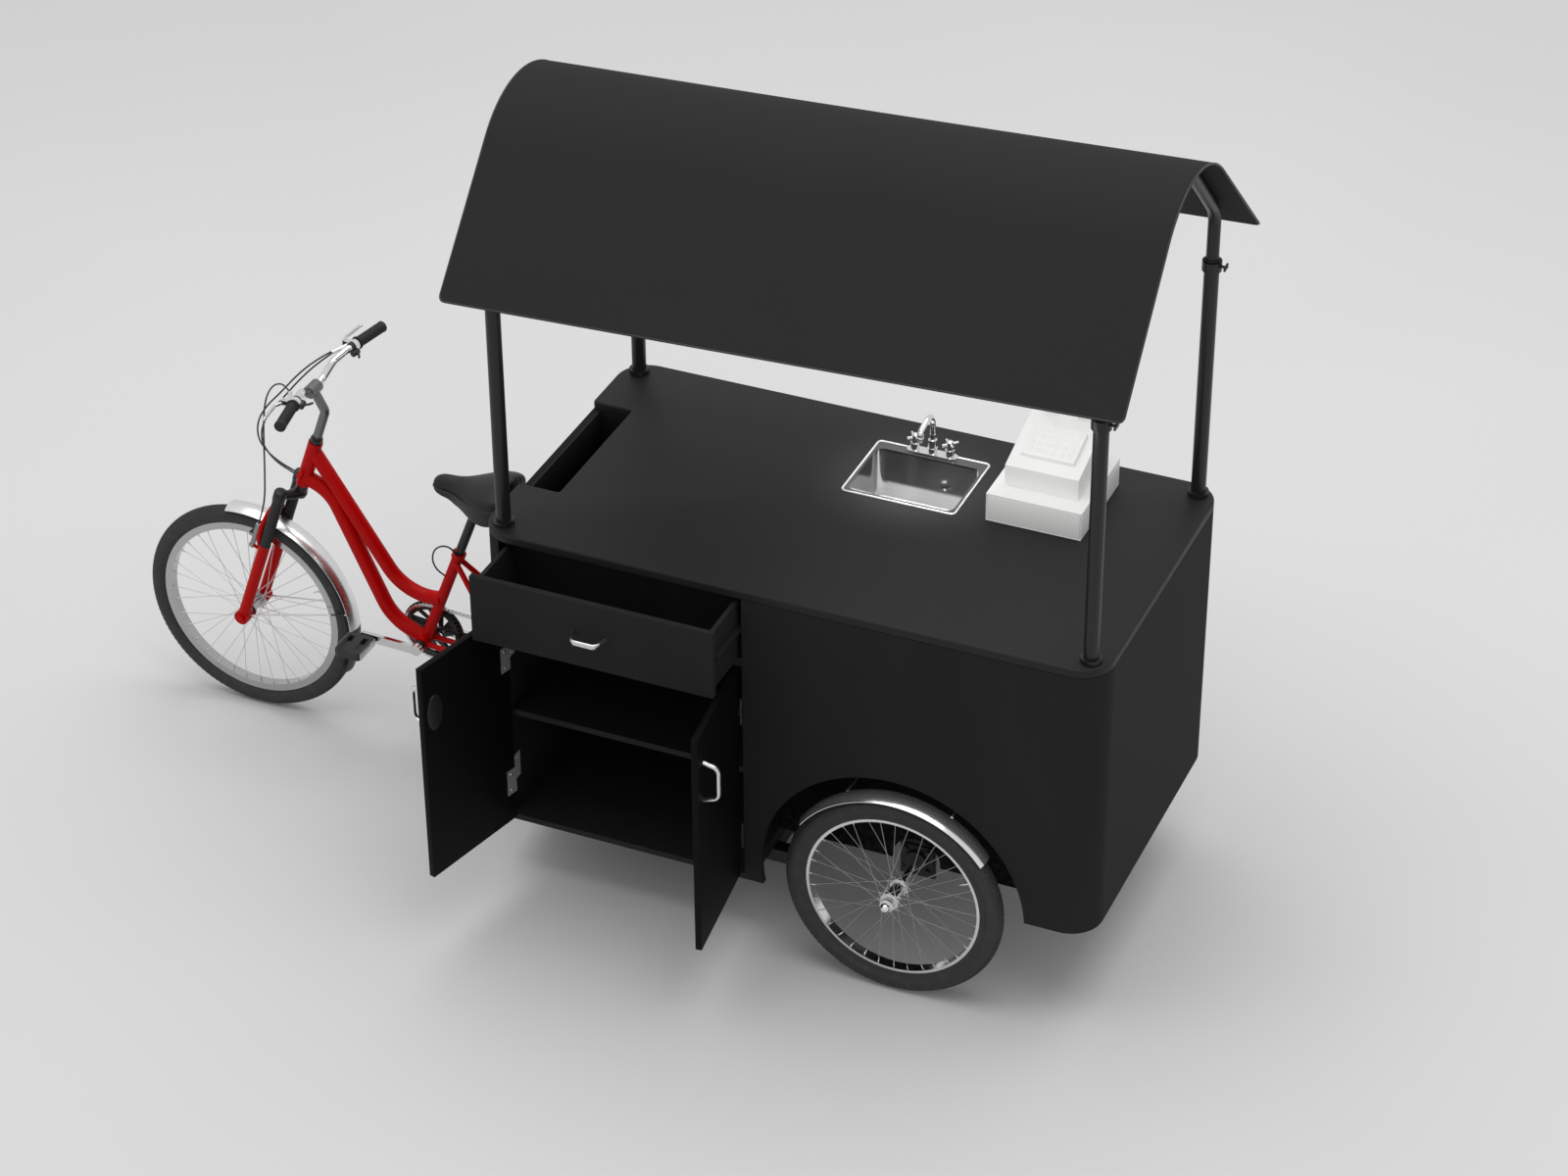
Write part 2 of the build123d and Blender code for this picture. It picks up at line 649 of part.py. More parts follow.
def make_chassis():
    """Ladder frame, hitch and bearings."""
    rear_end = cart_length - 40
    frame = Part()
    for side in (-1, 1):
        y0 = side * rail_y - rail / 2
        y1 = side * rail_y + rail / 2
        kick_x = front_section + 60
        frame += block(0, kick_x + rail, y0, y1, rail_bottom, rail_top)
        frame += block(kick_x, kick_x + rail, y0, y1, rail_top - 1, rear_floor)
        frame += block(kick_x, rear_end, y0, y1, rear_floor - rear_rail, rear_floor)
        plate_in = side * (rail_y + rail / 2)
        ys = sorted((plate_in, plate_in + side * bearing_plate))
        plate = plate_y(box_outline(rear_axle_x - 50, rear_axle_x + 50, rear_axle_z - 58, rear_floor), *ys)
        frame += plate - rod((rear_axle_x, -cart_width, rear_axle_z), (rear_axle_x, cart_width, rear_axle_z), 22)
    for x in (0, front_section / 2, front_section - rail):
        frame += block(x, x + rail, -rail_y, rail_y, rail_bottom, rail_top)
    frame += block(rear_end - rail, rear_end, -rail_y, rail_y, rear_floor - rear_rail, rear_floor)
    frame += block(-8, 0, -rail_y, rail_y, rail_bottom, rail_top)
    frame += block(-8, 0, -110, 110, rail_bottom, front_bottom + 262) - drive_slot(-20, 5)
    for side in (-1, 1):
        ys = sorted((side * hitch_half_gap, side * (hitch_half_gap + 8)))
        frame += block(hitch_x - 30, -7, *ys, hitch_z - 40, hitch_z + 40)
    bolt_hole = hitch_radius + fixed_fit
    frame -= rod((hitch_x, -cart_width, hitch_z), (hitch_x, cart_width, hitch_z), bolt_hole)
    head = hitch_half_gap + 8
    bolt = rod((hitch_x, -head - 14, hitch_z), (hitch_x, head + 14, hitch_z), hitch_radius)
    for side in (-1, 1):
        bolt += rod((hitch_x, side * head, hitch_z), (hitch_x, side * (head + 9), hitch_z), 11)
    add("chassis_frame", frame, bolt)

    plate_out = rail_y + rail / 2 + bearing_plate
    bearing = block(rear_axle_x - 45, rear_axle_x + 45, plate_out, plate_out + 8, rear_axle_z - 45, rear_axle_z + 45)
    bearing = fillet(bearing.edges().filter_by(Axis.Y), 14)
    bearing += rod((rear_axle_x, plate_out, rear_axle_z), (rear_axle_x, plate_out + 22, rear_axle_z), 32)
    for dx in (-32, 32):
        for dz in (-32, 32):
            x = rear_axle_x + dx
            z = rear_axle_z + dz
            bearing += rod((x, plate_out + 7, z), (x, plate_out + 16, z), 8)
    bearing -= rod((rear_axle_x, 0, rear_axle_z), (rear_axle_x, cart_width, rear_axle_z), axle_radius + running)
    carrier_face = rail_y + rail / 2
    carrier = rod((rear_axle_x, carrier_face - 5, rear_axle_z), (rear_axle_x, carrier_face, rear_axle_z), 48)
    carrier -= rod((rear_axle_x, 0, rear_axle_z), (rear_axle_x, cart_width, rear_axle_z), 16)
    add("rear_bearings", *both_sides(bearing), *both_sides(carrier))


def tooth_wheel(teeth, pitch_radius):
    """A sprocket blank with a round gap for every roller."""
    blank = Circle(pitch_radius + 3)
    gaps = []
    for step in range(teeth):
        angle = 2 * pi * step / teeth
        gaps.append(Pos(pitch_radius * cos(angle), pitch_radius * sin(angle)) * Circle(4.4))
    return blank - gaps


def belt_outline(grow):
    """The outline of the chain loop at a distance from its pitch line."""
    front = Pos(crank_x, crank_z) * Circle(chainring_radius + grow)
    rear = Pos(rear_axle_x, rear_axle_z) * Circle(sprocket_radius + grow)
    return make_hull(front.edges() + rear.edges())


def make_drive():
    """Rear axle, chain, crankset and pedals."""
    end_y = wheel_y + rear_hub_half
    axle = rod((rear_axle_x, -end_y - 14, rear_axle_z), (rear_axle_x, end_y + 14, rear_axle_z), axle_radius)
    for side in (-1, 1):
        seat = side * (end_y + clear)
        axle += rod((rear_axle_x, seat, rear_axle_z), (rear_axle_x, seat + side * 10, rear_axle_z), 17)
        stop = side * (wheel_y - rear_hub_half - clear)
        axle += rod((rear_axle_x, stop, rear_axle_z), (rear_axle_x, stop - side * 8, rear_axle_z), 15)
        drum_in = side * (rail_y + rail / 2 - 36)
        axle += rod((rear_axle_x, drum_in, rear_axle_z), (rear_axle_x, drum_in + side * 30, rear_axle_z), 44)
    line = chain_line
    cog = Pos(rear_axle_x, rear_axle_z) * tooth_wheel(sprocket_teeth, sprocket_radius)
    axle += plate_y(cog, line - tooth_half, line + tooth_half)
    add("rear_axle", axle)

    loop = belt_outline(chain_plate_half) - belt_outline(-chain_plate_half)
    chain = plate_y(loop, line - chain_plate_out, line - chain_plate_in)
    chain += plate_y(loop, line + chain_plate_in, line + chain_plate_out)
    add("chain", chain + chain_pins())

    spindle_end = bottom_bracket_half + 30
    crank = rod((crank_x, -spindle_end, crank_z), (crank_x, spindle_end, crank_z), spindle_radius)
    ring = Pos(crank_x, crank_z) * (tooth_wheel(chainring_teeth, chainring_radius) - Circle(chainring_radius - 16))
    crank += plate_y(ring, line - tooth_half, line + tooth_half)
    guard_y = line + chain_plate_out + 3
    guard = Pos(crank_x, crank_z) * (Circle(chainring_radius + 8) - Circle(chainring_radius - 16))
    crank += plate_y(guard, guard_y, guard_y + 3)
    arm_in = bottom_bracket_half + 22
    arm_out = arm_in + 12
    for step in range(5):
        angle = radians(72 * step + 20)
        x = crank_x + (chainring_radius - 12) * cos(angle)
        z = crank_z + (chainring_radius - 12) * sin(angle)
        crank += rod((crank_x, guard_y + 1.5, crank_z), (x, guard_y + 1.5, z), 6.5)
        crank += rod((x, line - tooth_half, z), (x, guard_y + 3, z), 6)
    crank += rod((crank_x, bottom_bracket_half + 2, crank_z), (crank_x, arm_out, crank_z), 17)
    crank += rod((crank_x, -bottom_bracket_half - 2, crank_z), (crank_x, -arm_out, crank_z), 17)
    reach_x = crank_length * cos(radians(crank_rise))
    reach_z = crank_length * sin(radians(crank_rise))
    for side, name in ((-1, "left_pedal"), (1, "right_pedal")):
        x = crank_x + side * reach_x
        z = crank_z - side * reach_z
        ys = sorted((side * arm_in, side * arm_out))
        arm = Pos((x + crank_x) / 2, (z + crank_z) / 2) * Rot(0, 0, -crank_rise) * SlotCenterToCenter(crank_length, 26)
        crank += plate_y(arm, *ys)
        axle_end = arm_out + pedal_length + 6
        crank += rod((x, side * arm_in, z), (x, side * axle_end, z), pedal_axle_radius)
        add(name, pedal(x, z, side, arm_out + 6, axle_end))
    add("crankset", crank)


def chain_pins():
    """Rollers along the two straight runs, at the chain's pitch."""
    span = hypot(rear_axle_x - crank_x, rear_axle_z - crank_z)
    tilt = atan2(rear_axle_z - crank_z, rear_axle_x - crank_x)
    lean = acos((chainring_radius - sprocket_radius) / span)
    run = span * sin(lean)
    pins = []
    for sign in (-1, 1):
        angle = tilt + sign * lean
        start_x = crank_x + chainring_radius * cos(angle)
        start_z = crank_z + chainring_radius * sin(angle)
        along = angle - sign * pi / 2
        for step in range(3, int(run / chain_pitch) - 2):
            x = start_x + step * chain_pitch * cos(along)
            z = start_z + step * chain_pitch * sin(along)
            pins.append(rod((x, chain_line - chain_plate_out, z), (x, chain_line + chain_plate_out, z), 2.6))
    return pins


def pedal(x, z, side, inner, axle_end):
    """A platform pedal that turns on its axle."""
    ys = sorted((side * inner, side * (axle_end + 4)))
    body = block(x - pedal_width / 2, x + pedal_width / 2, *ys, z - pedal_thickness / 2, z + pedal_thickness / 2)
    body = fillet(body.edges().filter_by(Axis.Z), 12)
    window = pedal_width / 2 - 10
    middle = side * (inner + axle_end + 4) / 2
    for x0, x1 in ((x - window, x - 13), (x + 13, x + window)):
        body -= block(x0, x1, middle - pedal_length / 2 + 14, middle + pedal_length / 2 - 14, z - 50, z + 50)
    body -= rod((x, 0, z), (x, side * (axle_end + clear), z), pedal_axle_radius + running)
    return body


def tyre_outline(tyre_radius):
    """A tyre's section: a round carcass with a foot between the rim's flanges."""
    centre = tyre_radius - tyre_section / 2
    bead = tyre_radius - tyre_section
    lip = bead + 7
    round_part = Pos(centre, 0) * Circle(tyre_section / 2)
    round_part &= box_outline(lip, tyre_radius + 1, -tyre_section, tyre_section)
    foot = box_outline(bead + 0.3, lip + 8, -rim_width / 2 + 2.4, rim_width / 2 - 2.4)
    return round_part + foot


def rim_outline(tyre_radius):
    """A box rim with two flanges for the tyre's foot."""
    bead = tyre_radius - tyre_section
    rim = box_outline(bead + 6 - rim_height, bead + 6, -rim_width / 2, rim_width / 2)
    return rim - box_outline(bead, bead + 7, -rim_width / 2 + 2.2, rim_width / 2 - 2.2)


def hub_outline(half, bore):
    """A hub with a flange near each end, in radius and width."""
    flange = half - 12
    hub = box_outline(bore, bore + 9, -half, half)
    for y in (-flange, flange):
        hub += box_outline(bore, 25, y - 1.6, y + 1.6)
    return hub


def spoked_wheel(tyre_radius, half, bore, x, y, z):
    """Rim, crossed spokes and hub as one wheel."""
    flange = half - 12
    rim_in = tyre_radius - tyre_section + 6 - rim_height
    lead = radians(62)
    wheel = turned(rim_outline(tyre_radius), x, y, z) + turned(hub_outline(half, bore), x, y, z)
    spokes = []
    for step in range(spoke_count):
        side = 1 if step % 2 else -1
        turn = 1 if step % 4 < 2 else -1
        rim_angle = 2 * pi * step / spoke_count
        hub_angle = rim_angle + turn * lead
        foot = (x + 22 * cos(hub_angle), y + side * flange, z + 22 * sin(hub_angle))
        tip_radius = rim_in + 2
        tip = (x + tip_radius * cos(rim_angle), y + side * 3, z + tip_radius * sin(rim_angle))
        spokes.append(rod(foot, tip, spoke_radius))
    return wheel + spokes


def guard(tyre_radius, x, y, z, start, arc):
    """A crowned mudguard over part of a tyre."""
    crown = tyre_radius + guard_gap
    half = guard_width / 2
    outer = ThreePointArc((crown - guard_drop, -half), (crown, 0), (crown - guard_drop, half))
    inner = ThreePointArc((crown - guard_drop - guard_sheet, half), (crown - guard_sheet, 0),
                          (crown - guard_drop - guard_sheet, -half))
    sides = [Line(outer @ 1, inner @ 0), Line(inner @ 1, outer @ 0)]
    return turned(make_face([outer, inner] + sides), x, y, z, start, arc)


def make_rear_wheels():
    """Two rear wheels, their tyres and mudguards."""
    for side, name, bore in ((-1, "near", axle_radius + running), (1, "far", axle_radius + fixed_fit)):
        y = side * wheel_y
        add(name + "_rear_tyre", turned(tyre_outline(rear_tyre_radius), rear_axle_x, y, rear_axle_z))
        add(name + "_rear_wheel", spoked_wheel(rear_tyre_radius, rear_hub_half, bore, rear_axle_x, y, rear_axle_z))
        shell = guard(rear_tyre_radius, rear_axle_x, y, rear_axle_z, 36, 110)
        stay_radius_here = rear_tyre_radius + guard_gap - guard_drop + 1
        for angle in (62, 118):
            x = rear_axle_x + stay_radius_here * cos(radians(angle))
            z = rear_axle_z + stay_radius_here * sin(radians(angle))
            shell += rod((x, side * well_face, z), (x, side * (wheel_y - guard_width / 2 + 4), z), 4)
        add("rear_mudguards", shell)


def steering_frame():
    """The steering axis: origin at the head tube's lower end, Z up the axis and X forwards."""
    tilt = radians(head_tilt)
    return Plane((head_x, 0, head_z), x_dir=(-cos(tilt), 0, sin(tilt)), z_dir=(sin(tilt), 0, cos(tilt)))


def fork_drop():
    """The distance down the steering axis from the head tube to the front axle."""
    tilt = radians(head_tilt)
    return (head_z + fork_rake * sin(tilt) - front_tyre_radius) / cos(tilt)


def make_fork():
    """Crown, sliding legs, brake arms, front wheel and front mudguard."""
    place = steering_frame().location
    drop = fork_drop()
    crown = block(-20, fork_rake + 20, -leg_spacing - 20, leg_spacing + 20, -crown_depth, -crown_depth + 26)
    crown = fillet(crown.edges().filter_by(Axis.Z), 16)
    crown += rod((0, 0, -crown_depth), (0, 0, -clear), race_radius)
    crown += rod((0, 0, -crown_depth), (0, 0, head_length + 24), steerer_radius)
    crown += rod((0, 0, head_length + clear), (0, 0, head_length + 14), race_radius)
    legs = Part()
    for side in (-1, 1):
        y = side * leg_spacing
        crown += rod((fork_rake, y, -drop + stanchion_foot), (fork_rake, y, -crown_depth + 20), stanchion_radius)
        legs += rod((fork_rake, y, -drop - 16), (fork_rake, y, -drop + leg_top), leg_radius)
        boss_z = -drop + brake_boss_height()
        boss_end = fork_rake + brake_lead() + 14
        legs += rod((fork_rake, side * 50, boss_z), (boss_end, side * 50, boss_z), 5)
        dropout_in = side * (front_hub_half + clear)
        legs += rod((fork_rake, dropout_in, -drop), (fork_rake, side * (leg_spacing + 16), -drop), dropout_radius)
    legs += rod((fork_rake, -leg_spacing, -drop), (fork_rake, leg_spacing, -drop), front_axle_radius)
    bridge = -drop + brace_top
    half_brace = [
        (fork_rake + 8, leg_spacing, -drop + leg_top - 24),
        (fork_rake + brace_lead, leg_spacing - 1, -drop + leg_top + 16),
        (fork_rake + brace_lead, 34, bridge),
    ]
    brace = half_brace + [(x, -y, z) for x, y, z in reversed(half_brace)]
    legs += bent_rod(brace, [18.0, 26.0, 26.0, 18.0], brace_radius)
    for side in (-1, 1):
        y = side * leg_spacing
        legs -= rod((fork_rake, y, -drop + bore_foot), (fork_rake, y, 0), stanchion_radius + running)
        legs += rod((fork_rake, y, -drop), (fork_rake, side * (leg_spacing + leg_radius + 7), -drop), 12)
    add("fork_crown", place * crown)
    add("fork_legs", place * legs)

    for name, side in (("left_brake_arm", 1), ("right_brake_arm", -1)):
        boss_z = -drop + brake_boss_height()
        x0 = fork_rake + brake_lead()
        x1 = x0 + 11
        arm = Pos(0, side * 50, boss_z + 38) * Box(11, 14, 92)
        arm = Pos((x0 + x1) / 2, 0, 0) * fillet(arm.edges().filter_by(Axis.X), 5)
        pad_z = boss_z + 14
        pad = block(x0 - 22, x1 + 22, *sorted((side * 18, side * 29)), pad_z - 5, pad_z + 5)
        arm += pad + block(x0, x1, *sorted((side * 27, side * 48)), pad_z - 4, pad_z + 4)
        arm -= rod((x0 - 5, side * 50, boss_z), (x1 + 5, side * 50, boss_z), 5 + running)
        add(name, place * arm)

    wheel_x, wheel_z = front_axle()
    bore = front_axle_radius + running
    add("front_tyre", turned(tyre_outline(front_tyre_radius), wheel_x, 0, wheel_z))
    add("front_wheel", spoked_wheel(front_tyre_radius, front_hub_half, bore, wheel_x, 0, wheel_z))

    shell = guard(front_tyre_radius, wheel_x, 0, wheel_z, 2, 96)
    crown_radius = front_tyre_radius + guard_gap
    brace_x = fork_rake + brace_lead
    rise = guard_sheet + hypot(crown_radius, brace_lead) - crown_radius
    bracket = block(brace_x - 7, brace_x + 7, -9, 9, -drop + crown_radius - rise, bridge)
    bracket -= rod((brace_x, -20, bridge), (brace_x, 20, bridge), brace_radius)
    shell += place * bracket
    stay_angle = radians(12)
    edge_radius = crown_radius - guard_drop - 0.5
    tip_x = wheel_x + edge_radius * cos(stay_angle)
    tip_z = wheel_z + edge_radius * sin(stay_angle)
    for side in (-1, 1):
        y = side * leg_spacing
        stay = rod((wheel_x, y, wheel_z), (tip_x, side * (guard_width / 2 - 1), tip_z), 2.5)
        seat = rod((fork_rake, -y, -drop - 60), (fork_rake, -y, -drop + 60), leg_radius + clear)
        knob = dropout_radius + clear
        seat += rod((fork_rake, -y - 40, -drop), (fork_rake, -y + 40, -drop), knob)
        shell += stay - place * seat
    flap = guard(front_tyre_radius, wheel_x, 0, wheel_z, -24, 26 - 0.02)
    add("front_mudguard", shell, flap)


def brake_lead():
    """How far the brake arms stand ahead of the legs' axis, in front of the brace."""
    return brace_lead + brace_radius + 3


def brake_boss_height():
    """Brake pivots above the front axle, just inside the rim."""
    return front_tyre_radius - tyre_section - 26


def front_axle():
    """The front axle's X and Z."""
    tilt = radians(head_tilt)
    drop = fork_drop()
    x = head_x - drop * sin(tilt) - fork_rake * cos(tilt)
    return x, front_tyre_radius


def make_frame():
    """The step-through frame with stays that bolt to the hitch."""
    tilt = radians(head_tilt)
    top = (head_x + head_length * sin(tilt), 0, head_z + head_length * cos(tilt))
    frame = rod((head_x, 0, head_z), top, head_radius)

    def on_head(distance):
        return head_x + distance * sin(tilt), 0, head_z + distance * cos(tilt)

    seat_slope = (seat_top_x - crank_x) / (seat_top_z - crank_z)
    join_z = crank_z + 154
    join = (crank_x + seat_slope * (join_z - crank_z), 0, join_z)
    upper = [on_head(upper_join), (join[0] - 112, 0, join_z - 18), join]
    lower = [on_head(lower_join), (head_x + 88, 0, head_z - 6), (crank_x - 106, 0, crank_z + 50), (crank_x, 0, crank_z)]
    frame += bent_rod(upper, [150.0], upper_tube)
    frame += bent_rod(lower, [120.0, 150.0], lower_tube)
    frame += rod((crank_x, 0, crank_z), (seat_top_x, 0, seat_top_z), seat_tube)
    frame += rod((crank_x, -bottom_bracket_half, crank_z), (crank_x, bottom_bracket_half, crank_z), bottom_bracket_radius)
    drop_y = hitch_half_gap - stay_radius - 2 * clear
    for side in (-1, 1):
        inner = hitch_half_gap - 7
        ys = sorted((side * inner, side * (hitch_half_gap - fixed_fit)))
        tab = plate_y(box_outline(hitch_x - 34, hitch_x + 16, hitch_z - 18, hitch_z + 18), *ys)
        frame += tab
        chain_stay = [(crank_x + 8, side * 22, crank_z - 2), (crank_x + 120, side * 22, crank_z - 10),
                      (hitch_x - 26, side * drop_y, hitch_z)]
        frame += bent_rod(chain_stay, [90.0], stay_radius)
        stay_top = Vector(seat_top_x - seat_slope * 26, side * 10, seat_top_z - 26)
        stay_end = Vector(hitch_x - 26, side * drop_y, hitch_z + 12)
        bend = stay_top + (stay_end - stay_top) * 0.42
        points = [tuple(stay_top), (bend.X, side * (chain_line + 20), bend.Z), tuple(stay_end)]
        frame += bent_rod(points, [120.0], stay_radius)
    frame += rod((seat_top_x - seat_slope * 16, 0, seat_top_z - 16), (seat_top_x, 0, seat_top_z), seat_tube + 4)
    for stop in cable_stops():
        frame += rod(stop, tuple(Vector(*stop) + cable_entry() * 14), cable_radius + 2.2)
    lug = Vector(*stop) + cable_entry() * 8
    frame += rod((lug.X, 0, lug.Z), tuple(lug), 4)

    frame -= rod(on_head(-60), on_head(0), race_radius + 4)
    frame -= rod(on_head(-5), on_head(head_length + 5), steerer_radius + running)
    axis = Vector(seat_top_x - crank_x, 0, seat_top_z - crank_z).normalized()
    seat_end = Vector(seat_top_x, 0, seat_top_z)
    low = seat_end - axis * 215
    high = seat_end + axis * 10
    frame -= rod((low.X, 0, low.Z), (high.X, 0, high.Z), seat_post_radius + running)
    shell = bottom_bracket_half + 1
    frame -= rod((crank_x, -shell, crank_z), (crank_x, shell, crank_z), spindle_radius + running)
    frame -= rod((hitch_x, -cart_width, hitch_z), (hitch_x, cart_width, hitch_z), hitch_radius + fixed_fit)
    add("bike_frame", frame)

    head = seat_end + axis * 186
    foot = seat_end - axis * 120
    post = rod((foot.X, 0, foot.Z), (head.X, 0, head.Z), seat_post_radius)
    rail_z = saddle_base_z - 12
    post += rod((head.X, -26, rail_z), (head.X, 26, rail_z), 9)
    post += rod((head.X, 0, head.Z - 4), (head.X, 0, rail_z), 11)
    for y in (-20, 20):
        points = [(saddle_nose_x + 56, y, saddle_base_z), (head.X - 45, y, rail_z), (head.X + 30, y, rail_z),
                  (saddle_tail_x - 30, y, saddle_base_z)]
        post += bent_rod(points, [30.0, 30.0], 3.5)
    add("seat_post", post)


def saddle_section(x, half, base, crown, tuck):
    """A padded cross-section: flat base, drawn-in sides and a crowned top."""
    shoulder = base + 0.55 * (crown - base)
    low = half - tuck
    edges = [
        Line((-low, base), (low, base)),
        ThreePointArc((low, base), (half, (base + shoulder) / 2 + 2), (half - tuck * 0.4, shoulder + 6)),
        ThreePointArc((half - tuck * 0.4, shoulder + 6), (0, crown), (-half + tuck * 0.4, shoulder + 6)),
        ThreePointArc((-half + tuck * 0.4, shoulder + 6), (-half, (base + shoulder) / 2 + 2), (-low, base)),
    ]
    return Pos(x, 0, 0) * (Plane.YZ * make_face(edges))


def make_saddle():
    """A wide sprung-foam saddle with a narrow nose."""
    length = saddle_tail_x - saddle_nose_x
    base = saddle_base_z + 3.5 + clear
    sections = [
        saddle_section(saddle_nose_x, 16, base + 10, base + 32, 4),
        saddle_section(saddle_nose_x + 0.12 * length, 25, base + 3, base + 42, 6),
        saddle_section(saddle_nose_x + 0.42 * length, 36, base, base + 46, 8),
        saddle_section(saddle_nose_x + 0.66 * length, 76, base, base + 54, 14),
        saddle_section(saddle_nose_x + 0.86 * length, 100, base, base + 68, 16),
        saddle_section(saddle_tail_x, 84, base + 8, base + 66, 14),
    ]
    add("saddle", loft(sections))


def bar_points():
    """Half of the handlebar's bends, from the stem to the near-side end at +Y."""
    return [
        (stem_x, 46, stem_z),
        (stem_x + 18, 92, stem_z + 44),
        (stem_x + 36, 142, stem_z + 58),
        (stem_x + 64, 291, stem_z + 58),
    ]


def grip_line():
    """Start of the straight grip run and its direction, on the +Y side."""
    start = Vector(*bar_points()[2])
    end = Vector(*bar_points()[3])
    return start, (end - start).normalized()


def make_handlebar():
    """Stem, bar, lever clamps, grips and levers."""
    tilt = radians(head_tilt)
    points = bar_points()
    path = [(x, -y, z) for x, y, z in reversed(points)] + points
    radii = [60.0, 38.0, 46.0, 46.0, 38.0, 60.0]
    bar = bent_rod(path, radii, bar_radius)
    base = head_length + 24
    foot = (head_x + base * sin(tilt), 0, head_z + base * cos(tilt))
    neck = base + 92
    knee = (head_x + neck * sin(tilt), 0, head_z + neck * cos(tilt))
    stem = bent_rod([foot, knee, (stem_x, 0, stem_z)], [20.0], steerer_radius - 1)
    stem += rod((stem_x, -24, stem_z), (stem_x, 24, stem_z), bar_radius + 8)
    stem -= rod((stem_x, -60, stem_z), (stem_x, 60, stem_z), bar_radius + fixed_fit)
    add("handlebar", bar, stem)

    start, along = grip_line()
    ahead = Vector(-along.Y, along.X, 0)
    clamp_at = start + along * 20
    clamp = rod(tuple(clamp_at), tuple(clamp_at + along * 16), bar_radius + 5)
    pivot = clamp_at + along * 8 + ahead * 32
    for z in (-8, 8):
        mid = clamp_at + along * 8 + ahead * 22
        ear = Pos(mid.X, mid.Y, mid.Z + z) * Rot(0, 0, degrees(atan2(ahead.Y, ahead.X))) * Box(34, 13, 3.4)
        clamp += ear
    clamp += rod((pivot.X, pivot.Y, pivot.Z - 11), (pivot.X, pivot.Y, pivot.Z + 11), 3.5)
    housing = start + along * 24 + ahead * 15
    clamp += rod(tuple(housing), tuple(cable_start()), ferrule_radius)
    clamp -= rod(tuple(clamp_at - along * 30), tuple(clamp_at + along * 60), bar_radius + fixed_fit)
    add("handlebar", *both_sides(clamp))

    bar_end = Vector(*points[-1])
    grip_end = bar_end + along * 3
    grip = rod(tuple(grip_end - along * grip_length), tuple(grip_end), grip_radius)
    grip -= rod(tuple(start), tuple(bar_end + along * fixed_fit), bar_radius + fixed_fit)
    add("grips", *both_sides(grip))

    knee = pivot + along * 26 + ahead * 16
    tip = pivot + along * 96 + ahead * 22
    lever = rod((pivot.X, pivot.Y, pivot.Z - 6), (pivot.X, pivot.Y, pivot.Z + 6), 8)
    lever += rod(tuple(pivot), tuple(knee), 5) + rod(tuple(knee), tuple(tip), 5)
    lever += Pos(*knee) * Sphere(5) + Pos(*tip) * Sphere(6)
    lever -= rod((pivot.X, pivot.Y, pivot.Z - 20), (pivot.X, pivot.Y, pivot.Z + 20), 3.5 + running)
    right, left = both_sides(lever)
    add("right_brake_lever", right)
    add("left_brake_lever", left)


def cable_start():
    """Where a cable leaves the lever clamp on the +Y side."""
    return Vector(stem_x - 2, 118.0, stem_z + 52)


def ferrule_direction():
    """The direction in which a cable leaves the lever clamp on the +Y side."""
    start, along = grip_line()
    ahead = Vector(-along.Y, along.X, 0)
    return (cable_start() - (start + along * 24 + ahead * 15)).normalized()


def cable_stops():
    """Where the two rear brake cables reach the head tube, on the near side."""
    x = head_x + cable_join * sin(radians(head_tilt)) - 13
    z = head_z + cable_join * cos(radians(head_tilt))
    return [(x, -head_radius - 5, z), (x, -head_radius - 15, z)]


def cable_entry():
    """The direction in which the rear brake cables run into their stops."""
    return Vector(0.94, -0.13, -0.31).normalized()


def cord_tube(points, radius):
    """A cable along points, with every bend as large as its runs allow."""
    corners = [Vector(*point) for point in points]
    radii = []
    for before, here, after in zip(corners, corners[1:], corners[2:]):
        run_in = here - before
        run_out = after - here
        half_turn = radians(run_in.get_angle(run_out)) / 2
        radii.append(0.45 * min(run_in.length, run_out.length) / tan(half_turn))
    print("cable bend radii", [round(value) for value in radii])
    tube = bent_rod(points, radii, radius)
    path = FilletPolyline(*points, radius=radii)
    print("cable volume over section times length", round(tube.volume / (pi * radius ** 2 * path.length), 4))
    return tube


